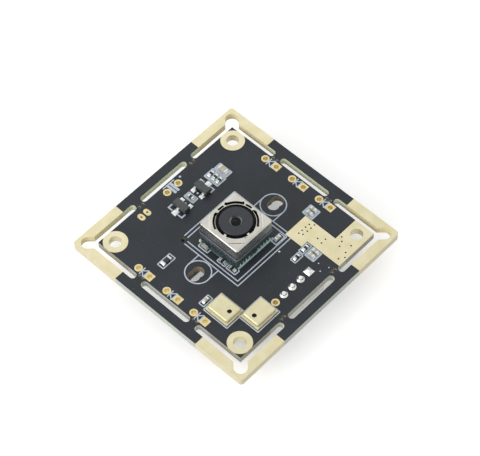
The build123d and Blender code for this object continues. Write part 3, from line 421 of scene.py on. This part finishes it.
# The coating cuts the glass's reflection to about a quarter. The glass is not clear but near-black with a
# green tint: the green is the coating's own, and the near-black is painted shade for the dark inside of the
# lens
dress(finish("coated lens glass", ("#08120c", "#10211a"), (0.03, 0.08), 0.4, drift_mm=1.2,
             Specular_IOR_Level=0.12, IOR=1.52), "front_lens", "rear_lens_elements")

# %% [markdown]
# **Plastics, resin and ceramic.** Black moulded parts are never quite black: they scatter a
# little light from their fine texture. Chip capacitors are fired ceramic, a dry tan, and chip
# resistors carry a black glaze.

# %% Plastics and ceramics
dress(finish("black liquid-crystal polymer", ("#0b0b0d", "#111113"), (0.5, 0.65), 0.05, drift_mm=0.8,
             bump_mm=0.002), "motor_base", "spring_spacer", "lens_carrier")
dress(finish("glass-filled grey polymer", ("#3c4044", "#474b50"), (0.35, 0.5), 0.06, drift_mm=0.8,
             bump_mm=0.003), "sensor_holder")
barrel_finish = finish("fine-textured black barrel", ("#1e2128", "#24272f"), (0.38, 0.5), 0.06, drift_mm=0.8,
                       bump_mm=0.004)
# A pale colour is painted on the inner edge of the cone round the aperture, on its left and right: a painted
# highlight
tree, matt, place = open_finish(barrel_finish)
where = add_node(tree, "ShaderNodeSeparateXYZ", {0: place.outputs["Object"]})
flat = add_node(tree, "ShaderNodeCombineXYZ", {0: where.outputs["X"], 1: where.outputs["Y"]})
radius = add_node(tree, "ShaderNodeVectorMath", {0: flat.outputs[0]}, operation="LENGTH")
edge = calculate(tree, "COMPARE", radius.outputs["Value"], 0.93 * mm, 0.1 * mm)
leftwards = calculate(tree, "SUBTRACT", where.outputs["Y"], where.outputs["X"])
on_left = ramp(tree, leftwards, 0.75 * mm, 1.1 * mm, 0.0, 0.75)
on_right = ramp(tree, leftwards, -1.2 * mm, -0.9 * mm, 0.4, 0.0)
painted_glint = calculate(tree, "MULTIPLY", edge, calculate(tree, "ADD", on_left, on_right))
recolour(tree, mix(tree, painted_glint, matt, colour("#9c9e99")))
dress(barrel_finish, "lens_barrel")

dress(finish("moulded epoxy", ("#3b4041", "#464b4c"), (0.45, 0.6), 0.06, drift_mm=0.5, bump_mm=0.004),
      "transistor_1_body", "transistor_2_body", "regulator_1_body", "regulator_2_body",
      "processor_body", "memory_body")
dress(finish("crystal base resin", ("#26262a", "#2e2e33"), (0.4, 0.55), 0.08, bump_mm=0.004), "crystal_base")
dress(finish("resistor glaze", ("#18181a", "#26262a"), (0.2, 0.4), 0.08, drift_mm=0.4, bump_mm=0.004),
      "resistor_bodies")
dress(finish("capacitor ceramic", ("#aaa48e", "#c2bca6"), (0.4, 0.55), 0.07, drift_mm=0.4, bump_mm=0.003),
      "capacitor_bodies", "back_capacitor_bodies")
dress(finish("pressed ferrite", ("#3a3a3c", "#4b4b4d"), (0.6, 0.8), 0.07, drift_mm=0.6, bump_mm=0.012),
      "inductor_core")
dress(finish("teal module laminate", ("#2e3a3e", "#3d4c50"), (0.4, 0.55), 0.08, drift_mm=0.4, bump_mm=0.003),
      "module_substrate")
dress(finish("microphone laminate", ("#cdc39c", "#e2dab8"), (0.45, 0.6), 0.08, drift_mm=0.4, bump_mm=0.005),
      "microphone_base_1", "microphone_base_2")
dress(finish("natural nylon", ("#f0eee8", "#f8f7f2"), (0.35, 0.5), 0.1, drift_mm=2.0, bump_mm=0.004,
             Subsurface_Weight=0.15, Subsurface_Scale=0.5 * mm), "socket_housing")

# %% [markdown]
# ## Modelling
# Sheet metal, which has softer edges than its solid, the plastic rim under it, solder, dried flux
# and glue are modelled here. Each starts from a primitive. Five helpers come first: one adds a
# block of a given size, one selects what an operator should act on, one gives the middle of an
# edge, one joins two shapes, and one copies a finished model to its places.

# %% Helpers for modelling
def block(size_mm, middle_mm, turn=0):
    """A block of this size in mm around this middle, alone in the selection."""
    bpy.ops.object.select_all(action="DESELECT")
    bpy.ops.mesh.primitive_cube_add(size=1, location=[v * mm for v in middle_mm],
                                    rotation=(0, 0, radians(turn)), scale=[v * mm for v in size_mm])
    bpy.ops.object.transform_apply(location=True, rotation=True, scale=True)
    return bpy.context.object


def pick(test, kind="FACE"):
    """Select the faces or edges of the mesh being edited for which test is true."""
    bpy.ops.mesh.select_all(action="DESELECT")
    bpy.ops.mesh.select_mode(type=kind)
    bpy.ops.object.mode_set(mode="OBJECT")
    mesh = bpy.context.object.data
    for item in mesh.edges if kind == "EDGE" else mesh.polygons:
        if test(item):
            item.select = True
    bpy.ops.object.mode_set(mode="EDIT")


def middle_of(edge):
    """The middle point of an edge of the active mesh."""
    points = [bpy.context.object.data.vertices[i].co for i in edge.vertices]
    return (points[0] + points[1]) / 2


def join_to(thing):
    """Join the selected shape to this one."""
    thing.select_set(True)
    bpy.context.view_layer.objects.active = thing
    bpy.ops.object.join()


# %% Copies of a model
def copies(model, places, name, material):
    """Copy a model to each (x, y, z, turn, tip), in mm and degrees, and join the copies."""
    bpy.ops.object.select_all(action="DESELECT")
    for x, y, z, turn, tip in places:
        copy = model.copy()
        copy.data = model.data.copy()
        bpy.context.collection.objects.link(copy)
        copy.location = (x * mm, y * mm, z * mm)
        copy.rotation_mode = "QUATERNION"
        copy.rotation_quaternion = Quaternion((0, 0, 1), radians(turn)) @ Quaternion((1, 0, 0), radians(tip))
        copy.select_set(True)
        bpy.context.view_layer.objects.active = copy
    if len(places) > 1:
        bpy.ops.object.join()
    joined = bpy.context.object
    bpy.ops.object.transform_apply(location=True, rotation=True, scale=True)
    joined.name = name
    coat(joined, material)
    bpy.data.objects.remove(model)
    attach(joined, "camera")
    print(name, len(places), "copies,", len(joined.data.polygons), "faces")
    return joined


print("helpers ready")

# %% [markdown]
# **The motor's can.** It is drawn from thin sheet, so its upper edges are soft. The solid has the
# right openings but tight edges. A block with the soft edges of drawn sheet is modelled, and what
# the block and the solid share is the finished piece: the boolean modifier keeps the openings of
# one and the edges of the other. Cutters for what is pressed and cut into the sheet come first.
#
# A groove and a few dots are pressed into the can's top, towards its near corner. They show which
# way round the module is. Small cutters make them, all joined into one.

# %% Pressed marks
diagonal = cos(radians(45))
can_low, can_high = [[v / mm for v in point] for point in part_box("motor_can")]
can_half, can_top = can_high[0], can_high[2]
groove_at = 4.29 * diagonal
mark_height = 0.16
dot_radius = 0.14
dots_at = ((-1.25, -3.35), (-3.4, -1.3), (1.6, -3.3), (-2.27, -3.8), (-3.8, -2.27))

cutters = block((0.18, 1.7, mark_height), (-groove_at, -groove_at, can_top), 45)
for x, y in dots_at:
    bpy.ops.mesh.primitive_cylinder_add(vertices=12, radius=dot_radius * mm, depth=mark_height * mm,
                                        location=(x * mm, y * mm, can_top * mm))
    join_to(cutters)
print("can's top at", round(can_top, 2), "mm,", len(dots_at), "dots")

# %% [markdown]
# The slots and the opening are a little wider than in the solid, with only the two teeth left as
# they are. A small upright face is spun about the lens axis, which gives a curved bar as wide as
# the slot.

# %% Wider slots and opening
# Each bar's start and end in degrees, its distance from the lens axis and its width
bars = ((22.5, 70, 3.73, 0.5), (105.6, 157.8, 3.61, 0.38), (-61.8, -11, 3.63, 0.38),
        (76.5, 95.5, 3.63, 0.36), (-1.5, 17, 3.67, 0.36), (194, 259, 3.26, 0.2), (267, 546, 3.26, 0.2))
bar_height = 0.7
for start, end, radius, width in bars:
    bpy.ops.object.select_all(action="DESELECT")
    bpy.ops.mesh.primitive_plane_add(size=1, location=(0, 0, 0))
    bar = bpy.context.object
    bar.scale = (width * mm, bar_height * mm, 1)
    bar.location = (radius * mm * cos(radians(start)), radius * mm * sin(radians(start)), can_top * mm)
    bar.rotation_euler = (radians(90), 0, radians(start))
    bpy.ops.object.transform_apply(location=True, rotation=True, scale=True)
    bpy.ops.object.mode_set(mode="EDIT")
    bpy.ops.mesh.select_all(action="SELECT")
    bpy.ops.mesh.spin(steps=max(8, int((end - start) / 4)), angle=radians(start - end),
                      center=(0, 0, 0), axis=(0, 0, 1))
    bpy.ops.mesh.select_all(action="SELECT")
    bpy.ops.mesh.normals_make_consistent(inside=False)
    bpy.ops.object.mode_set(mode="OBJECT")
    print("slot from", start, "to", end, "degrees:", len(bar.data.polygons), "faces")
    join_to(cutters)

# %% [markdown]
# A band across each of the can's left and right corners slopes a little. The can also ends higher
# than its solid does: a rim of the holder stands there.

# %% Sloped bands and the can's lower end
band_slope = -14
band_depth = 0.04
can_foot = 2.62
for side in (-4.3, 4.32):
    band = block((0.42, 4, 0.3), (0, 0, 0.15))
    band.rotation_euler = (0, radians(band_slope), radians(-45))
    band.location = (side * diagonal * mm, -side * diagonal * mm, (can_top - band_depth) * mm)
    bpy.ops.object.transform_apply(location=True, rotation=True, scale=True)
    join_to(cutters)
block((2 * can_half + 1, 2 * can_half + 1, 1), (0, 0, can_foot - 0.5))
join_to(cutters)
print("cutters:", len(cutters.data.polygons), "faces")

# %% [markdown]
# Short bars widen the ends of the slots, where the press has left hooks. Each is given by how far
# it lies to the right of the lens and beyond it, as the camera sees them.

# %% Ends of the slots
slot_ends = ((-3.31, 1.43, 0.55, 0.3), (3.24, 1.72, 0.5, 0.32),
             (-1.6, 3.5, 0.3, 0.55), (1.36, 3.58, 0.3, 0.55))
hooks = []
for right, beyond, width, length in slot_ends:
    x, y = (beyond + right) * diagonal, (beyond - right) * diagonal
    hooks.append(block((width, length, bar_height), (x, y, can_top), -45))
print(len(hooks), "bars")

# %% [markdown]
# The soft block reaches a little below the can. Its upright corners are bevelled first, and then
# its upper edges.

# %% Soft block
corner_radius, edge_radius = 0.42, 0.33
bevel_steps = 10
block_height = can_top - can_low[2] + 1
middle = [(a + b) / 2 for a, b in zip(can_low, can_high)]
soft_block = block((can_half - can_low[0], can_high[1] - can_low[1], block_height),
                   (middle[0], middle[1], can_top - block_height / 2))
bpy.ops.object.mode_set(mode="EDIT")
pick(lambda e: abs(middle_of(e).z / mm - can_top + block_height / 2) < 0.1, "EDGE")
bpy.ops.mesh.bevel(offset=corner_radius * mm, segments=bevel_steps)
pick(lambda e: middle_of(e).z / mm > can_top - 0.01, "EDGE")
bpy.ops.mesh.bevel(offset=edge_radius * mm, segments=bevel_steps)
bpy.ops.object.mode_set(mode="OBJECT")
print("soft block:", len(soft_block.data.polygons), "faces")

# %% [markdown]
# A copy of the solid, with its doubled points merged, is cut by the block and the cutters.
# Weighted normals then keep the flat faces flat in the light, up to their round edges.

# %% The can
pressed_can = bpy.data.objects.new("pressed_can", nodes["motor_can"].data.copy())
bpy.context.collection.objects.link(pressed_can)
bpy.ops.object.select_all(action="DESELECT")
pressed_can.select_set(True)
bpy.context.view_layer.objects.active = pressed_can
bpy.ops.object.mode_set(mode="EDIT")
bpy.ops.mesh.select_all(action="SELECT")
bpy.ops.mesh.remove_doubles(threshold=0.001 * mm)
bpy.ops.mesh.normals_make_consistent(inside=False)
bpy.ops.object.mode_set(mode="OBJECT")
for tool in (soft_block, cutters, *hooks):
    shaping = pressed_can.modifiers.new("shaping", "BOOLEAN")
    shaping.object = tool
    shaping.operation = "INTERSECT" if tool == soft_block else "DIFFERENCE"
    shaping.solver = "EXACT"
    bpy.ops.object.modifier_apply(modifier="shaping")
    bpy.data.objects.remove(tool)
bpy.ops.object.shade_smooth_by_angle(angle=radians(11))
even = pressed_can.modifiers.new("even", "WEIGHTED_NORMAL")
even.keep_sharp = True
bpy.ops.object.modifier_apply(modifier="even")
coat(pressed_can, can_finish)
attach(pressed_can, "camera")
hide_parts("motor_can")
print("pressed can:", len(pressed_can.data.polygons), "faces")

# %% [markdown]
# **The holder's rim.** Under the can, the sensor holder has a rim as wide as the can. Its upper
# edge is rounded, and the light catches it as a fine line below the can's wall. A block is
# hollowed: its top is inset and moved downwards.

# %% Holder rim
rim_low = can_low[2]
rim_middle = (can_foot + rim_low) / 2
rim_side = 2 * can_half + 0.18
rim_corner, rim_wall, rim_hollow, rim_edge = 0.4, 0.27, 0.4, 0.05
rim = block((rim_side, rim_side, can_foot - rim_low), (0, 0, rim_middle))
bpy.ops.object.mode_set(mode="EDIT")
pick(lambda e: abs(middle_of(e).z / mm - rim_middle) < 0.05, "EDGE")
bpy.ops.mesh.bevel(offset=rim_corner * mm, segments=5)
pick(lambda f: f.normal.z > 0.9)
bpy.ops.mesh.inset(thickness=rim_wall * mm)
bpy.ops.transform.translate(value=(0, 0, -rim_hollow * mm))
pick(lambda e: middle_of(e).z / mm > can_foot - 0.01, "EDGE")
bpy.ops.mesh.bevel(offset=rim_edge * mm, segments=3)
bpy.ops.object.mode_set(mode="OBJECT")
bpy.ops.object.shade_smooth_by_angle(angle=radians(40))
rim_finish = finish("moulded rim", ("#666b73", "#767b83"), (0.3, 0.45), 0.06, drift_mm=0.8, bump_mm=0.002)
copies(rim, [(0, 0, 0, 0, 0)], "holder_rim", rim_finish)

# %% [markdown]
# ## Solder
# Melted solder climbs up a pin or the end of a chip and freezes in a hollow curve, with a thin
# rim on its pad. The CAD model has cones and bare lands there. A wetted solder surface is smooth
# and bright, with slow waves, and a few dull patches where it crystallised.

# %% Solder finish
solder = finish("bright solder", ("#d3d5d2", "#e4e6e2"), (0.2, 0.34), 0.35, drift_mm=0.5, bump_mm=0.008,
                Metallic=0.65)
print("solder:", solder.name)

# %% [markdown]
# **Fillets at the ends of chip parts.** A block as wide as the chip starts the shape. Its upper
# outer edge is bevelled over almost its whole height, with a profile below one half, which makes
# the bevel hollow, as wetted solder is.

# %% Chip fillets
def fillet_model(length, width, height):
    """A hollow wedge of solder, its foot at the origin, that leans on the chip at -X."""
    made = block((length, width, height), (length / 2, 0, height / 2))
    bpy.ops.object.mode_set(mode="EDIT")
    pick(lambda e: middle_of(e).z > 0.9 * height * mm and middle_of(e).x > 0.9 * length * mm, "EDGE")
    bpy.ops.mesh.bevel(offset=0.92 * length * mm, segments=5, profile=0.18, clamp_overlap=True)
    bpy.ops.object.mode_set(mode="OBJECT")
    bpy.ops.object.shade_smooth_by_angle(angle=radians(40))
    return made


def ends_of(parts, half_length, level, tip=0):
    """The two ends of each chip that lies at (x, y, turn)."""
    spots = []
    for x, y, turn in parts:
        for way in (turn, turn + 180):
            spots.append((x + half_length * cos(radians(way)), y + half_length * sin(radians(way)),
                          level, way, tip))
    return spots


# Each chip's (x, y, turn)
small_resistors = [(0.75, 11.05, 90), (6.45, 11.85, 0), (6.45, 10.9, 0), (6.45, 9.95, 0),
                   (3.95, -9.85, 0), (6.2, -9.7, 0), (-4.8, -1.55, 90), (-4.8, -3.7, 90)]
small_capacitors = [(-4.8, 2.5, 90), (4.55, -5.1, 0), (-12.1, -4.7, 0), (11.75, -5.6, 90),
                    (12.7, -5.6, 90), (5.8, -11.4, 90), (6.75, -11.4, 90)]
large_chips = [(-11.0, 5.25, 0), (8.4, 10.95, 90)]
back_chips = [(-1.6, -6.4, 0), (2.4, -6.4, 0), (5.6, 3.6, 90), (5.6, -0.4, 90), (-1.6, -4.2, 0),
              (2.4, -4.2, 0), (7.2, 8.2, 90), (7.2, 4.2, 90)]
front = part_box("front_lands")[1][2] / mm
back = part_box("back_lands")[0][2] / mm
small_half, large_half = 0.5, 0.8
copies(fillet_model(length=0.2, width=0.5, height=0.26), ends_of(small_resistors, small_half, front),
       "resistor_solder", solder)
copies(fillet_model(length=0.2, width=0.5, height=0.36), ends_of(small_capacitors, small_half, front),
       "capacitor_solder", solder)
copies(fillet_model(length=0.21, width=0.8, height=0.36), ends_of(large_chips, large_half, front),
       "large_chip_solder", solder)
copies(fillet_model(length=0.21, width=0.8, height=0.36), ends_of(back_chips, large_half, back, tip=180),
       "back_chip_solder", solder)
print("seats:", round(front, 2), round(back, 2), "mm")

# %% [markdown]
# **Flux film.** Soldering flux dries to a milky film round some of the chips, held back by the
# printed frames. A thin plate with rounded corners fills each frame, just above the lacquer and
# lower than the lands, and its finish is cloudy.

# %% Flux film
flux = finish("dried flux", ("#8794a0", "#b9c5cb"), (0.4, 0.6), 0.12, drift_mm=0.35, bump_mm=0.004,
              Specular_IOR_Level=0.4)
film_thickness = 0.012
# Each film's (x, y, width, length)
filmed = [(0.75, 11.05, 1.2, 2.05), (6.45, 11.9, 2.1, 1.1), (6.45, 10.95, 2.1, 1.1), (6.45, 9.95, 2.1, 1.1),
          (8.45, 10.95, 1.4, 2.7), (6.25, -11.4, 2.05, 1.9), (12.2, -5.6, 2.05, 2.1)]
for number, (x, y, width, length) in enumerate(filmed, start=1):
    film = block((width, length, film_thickness), (0, 0, film_thickness / 2))
    bpy.ops.object.mode_set(mode="EDIT")
    pick(lambda e: abs(middle_of(e).z / mm - film_thickness / 2) < 0.001, "EDGE")
    bpy.ops.mesh.bevel(offset=0.15 * mm, segments=3)
    bpy.ops.object.mode_set(mode="OBJECT")
    copies(film, [(x, y, 0, 0, 0)], "flux_film_%d" % number, flux)

# %% [markdown]
# **Solder on the transistors' lands.** A leg's foot lies in a flat sheet of solder that covers
# its land, and whose rim is rounded by the pull of the melt. A block whose top is drawn in and
# whose upper edges are bevelled gives it. The land of the third leg is larger, and so is its sheet.

# %% Solder sheets
def sheet_model(length, width, height):
    """A flat sheet of solder with a round rim that starts at the origin and runs along +X."""
    made = block((length, width, height), (length / 2, 0, height / 2))
    drawn_in = 0.92
    bpy.ops.object.mode_set(mode="EDIT")
    pick(lambda f: f.normal.z > 0.9)
    bpy.ops.transform.resize(value=(drawn_in, drawn_in, 1), center_override=(0.35 * length * mm, 0, 0))
    pick(lambda e: middle_of(e).z > 0.9 * height * mm
         or abs(middle_of(e).z - height / 2 * mm) < 0.1 * height * mm, "EDGE")
    bpy.ops.mesh.bevel(offset=0.05 * mm, segments=2)
    bpy.ops.object.mode_set(mode="OBJECT")
    bpy.ops.object.shade_smooth_by_angle(angle=radians(50))
    return made


def beside(parts, along, across, level, tip=0):
    """A spot of each part that stands at (x, y, turn), counted in the part's own directions."""
    spots = []
    for x, y, turn in parts:
        way = 180 if along < 0 else 0
        c, s = cos(radians(turn)), sin(radians(turn))
        side = -1 if tip else 1
        spots.append((x + along * c - side * across * s, y + along * s + side * across * c,
                      level, turn + way, tip))
    return spots


# Each three-lead part's (x, y, turn), and where its solder starts along and across it
transistors = [(-1.8, 10.78, 0), (3.2, 10.75, 180)]
regulators = [(10.0, 8.2, 0), (10.0, 4.2, 0)]
leg_along, leg_across = 0.72, 0.95
leg_sheet = {"length": 0.84, "width": 0.86, "height": 0.18}
tab_sheet = {"length": 1.24, "width": 1.06, "height": 0.2}
for parts, kind, level, tip in ((transistors, "transistor", front, 0), (regulators, "regulator", back, 180)):
    legs = (beside(parts, leg_along, leg_across, level, tip)
            + beside(parts, leg_along, -leg_across, level, tip))
    tabs = beside(parts, -leg_along, 0, level, tip)
    copies(sheet_model(**leg_sheet), legs, kind + "_solder", solder)
    copies(sheet_model(**tab_sheet), tabs, kind + "_tab_solder", solder)

# %% [markdown]
# **Joints of the cable socket's pins.** The pins come through from the back and are soldered on
# the front. A ring of points is extruded upwards and narrowed step by step along a hollow curve,
# as on a lathe. The first pin's pad is square, and so is its joint.

# %% Pin joints
def joint_model(sides, turn, steps):
    """A hollow cone of solder: steps are (radius, height) pairs in mm, from the pad up."""
    bpy.ops.object.select_all(action="DESELECT")
    bpy.ops.mesh.primitive_circle_add(vertices=sides, radius=steps[0][0] * mm, fill_type="NGON",
                                      rotation=(0, 0, radians(turn)))
    bpy.ops.object.transform_apply(location=True, rotation=True, scale=True)
    bpy.ops.object.mode_set(mode="EDIT")
    for (radius, height), (next_radius, next_height) in zip(steps, steps[1:]):
        rise = (next_height - height) * mm
        bpy.ops.mesh.extrude_region_move(TRANSFORM_OT_translate={"value": (0, 0, rise)})
        ratio = next_radius / radius
        bpy.ops.transform.resize(value=(ratio, ratio, 1))
    bpy.ops.mesh.select_all(action="SELECT")
    bpy.ops.mesh.normals_make_consistent(inside=False)
    bpy.ops.object.mode_set(mode="OBJECT")
    return bpy.context.object


joint_solder = finish("pin solder", ("#d6d7d5", "#eceeec"), (0.22, 0.34), 0.9, drift_mm=0.7, bump_mm=0.004,
                      Metallic=1.0)
round_steps = [(0.71, 0.0), (0.7, 0.05), (0.65, 0.1), (0.57, 0.16), (0.49, 0.22), (0.42, 0.3), (0.38, 0.42),
               (0.36, 0.5), (0.3, 0.55), (0.15, 0.57)]
pins_x, first_pin_x, pins_y = (-2.7, -0.7, 1.3), 3.3, -13.1
round_joint = joint_model(32, 0, round_steps)
bpy.ops.object.shade_smooth_by_angle(angle=radians(60))
joints = copies(round_joint, [(x, pins_y, front, 0, 0) for x in pins_x], "pin_joints", joint_solder)
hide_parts("solder_joints")

# %% First pin's joint
square_steps = [(1.0, 0.0), (0.99, 0.06), (0.86, 0.13), (0.72, 0.21), (0.58, 0.3), (0.45, 0.38), (0.3, 0.43)]
square_joint = joint_model(4, 45, square_steps)
rounding = square_joint.modifiers.new("round", "BEVEL")
rounding.width = 0.1 * mm
rounding.segments = 3
rounding.limit_method = "ANGLE"
bpy.ops.object.modifier_apply(modifier="round")
bpy.ops.object.shade_smooth_by_angle(angle=radians(60))
first_joint = copies(square_joint, [(first_pin_x, pins_y, front, 0, 0)], "square_pin_joint", joint_solder)
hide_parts("solder_joints")

# %% [markdown]
# **Beads of solder and a drop of glue.** Hand soldering leaves small beads on the lacquer near the
# pins, and a drop of pale glue sits at the module's left side. A ball that is pressed flat and
# cut off at the surface gives both: bisect cuts it, and fills the cut.

# %% Beads and glue
def drop_model(radius, height):
    """A drop that stands on the surface at the origin. radius is the ball's, before it is flat."""
    bpy.ops.object.select_all(action="DESELECT")
    bpy.ops.mesh.primitive_ico_sphere_add(subdivisions=3, radius=radius * mm)
    bpy.ops.object.mode_set(mode="EDIT")
    bpy.ops.mesh.select_all(action="SELECT")
    # Its middle lies a quarter of the height below the surface, and what is below is cut off
    bpy.ops.transform.resize(value=(1, 1, 1.25 * height / radius))
    bpy.ops.transform.translate(value=(0, 0, -0.25 * height * mm))
    bpy.ops.mesh.bisect(plane_co=(0, 0, 0), plane_no=(0, 0, 1), use_fill=True, clear_inner=True)
    bpy.ops.object.mode_set(mode="OBJECT")
    bpy.ops.object.shade_smooth_by_angle(angle=radians(60))
    return bpy.context.object


beads_at = [(5.55, -13.2), (4.6, -14.4), (6.1, -14.95)]
copies(drop_model(radius=0.13, height=0.09), [(x, y, 0, 0, 0) for x, y in beads_at], "solder_beads", solder)
copies(drop_model(radius=0.22, height=0.12), [(2.9, -6.95, 0.01, 0, 0)], "large_solder_bead", solder)
glue = finish("cured epoxy glue", ("#d3d4b4", "#e0e1c6"), (0.25, 0.4), 0.1, drift_mm=0.4, bump_mm=0.004,
              Subsurface_Weight=0.2, Subsurface_Scale=0.3 * mm)
copies(drop_model(radius=0.27, height=0.6), [(-4.42, 3.87, 0, 0, 0)], "glue_drop", glue)

# %% [markdown]
# ** Solder in the notches of the lens module.** Forty-four half-round notches along the module's little board are soldered to lands. Each joint is a slim cone that stands in its notch. The joints are coloured a dark grey-green, and pale teal on the side that faces right in the photograph, except in two notches near the middle.

# %% Notch solder
# Two colours for the notch solder: dark grey-green, and pale teal on the side that faces right
dull_solder = finish("dark grey-green notch solder", ("#35494b", "#465c5d"), (0.45, 0.6), 0.1, drift_mm=0.5,
                     bump_mm=0.003)
teal_solder = finish("pale teal notch solder", ("#93b2ad", "#b3cec9"), (0.35, 0.5), 0.1, drift_mm=0.5,
                     bump_mm=0.003)


def tick_model(height=0.6):
    """A slim cone of solder that stands in a notch."""
    bpy.ops.object.select_all(action="DESELECT")
    bpy.ops.mesh.primitive_cone_add(vertices=10, radius1=0.15 * mm, radius2=0.09 * mm, depth=height * mm,
                                    location=(0, 0, height / 2 * mm))
    bpy.ops.object.transform_apply(location=True, rotation=True, scale=True)
    bpy.ops.object.mode_set(mode="EDIT")
    pick(lambda f: f.normal.z > 0.9)
    bpy.ops.mesh.inset(thickness=0.03 * mm)
    bpy.ops.transform.translate(value=(0, 0, 0.08 * mm))
    bpy.ops.object.mode_set(mode="OBJECT")
    bpy.ops.object.shade_smooth_by_angle(angle=radians(60))
    return bpy.context.object


edge_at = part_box("module_substrate")[1][0] / mm
notch_pitch = 0.7
teal_side, dull_there = 270, (4, 5)
dull_notches, teal_notches = [], []
for turn in (0, 90, 180, 270):
    c, s = cos(radians(turn)), sin(radians(turn))
    for i in range(11):
        across = notch_pitch * (i - 5)
        group = teal_notches if turn == teal_side and i not in dull_there else dull_notches
        group.append((edge_at * c - across * s, edge_at * s + across * c, front, turn, 0))
copies(tick_model(), dull_notches, "dull_notch_solder", dull_solder)
copies(tick_model(), teal_notches, "teal_notch_solder", teal_solder)

# %% [markdown]
# A thin line runs along the module's foot on its two near sides, where it meets the board: pale teal on the
# right, dark grey-green on the left.

# %% Lines along the foot
def line_model(length, width, height):
    """A low bar with a round top that lies along X on the surface."""
    made = block((length, width, height), (0, 0, height / 2))
    bpy.ops.object.mode_set(mode="EDIT")
    pick(lambda e: middle_of(e).z / mm > height - 0.02, "EDGE")
    bpy.ops.mesh.bevel(offset=0.06 * mm, segments=3)
    bpy.ops.object.mode_set(mode="OBJECT")
    bpy.ops.object.shade_smooth_by_angle(angle=radians(50))
    return made


line_at = -edge_at - 0.12
for name, place, material in (("right_foot_line", (0, line_at, 0, 0, 0), teal_solder),
                              ("left_foot_line", (line_at, 0, 0, 90, 0), dull_solder)):
    copies(line_model(length=8.4, width=0.34, height=0.12), [place], name, material)
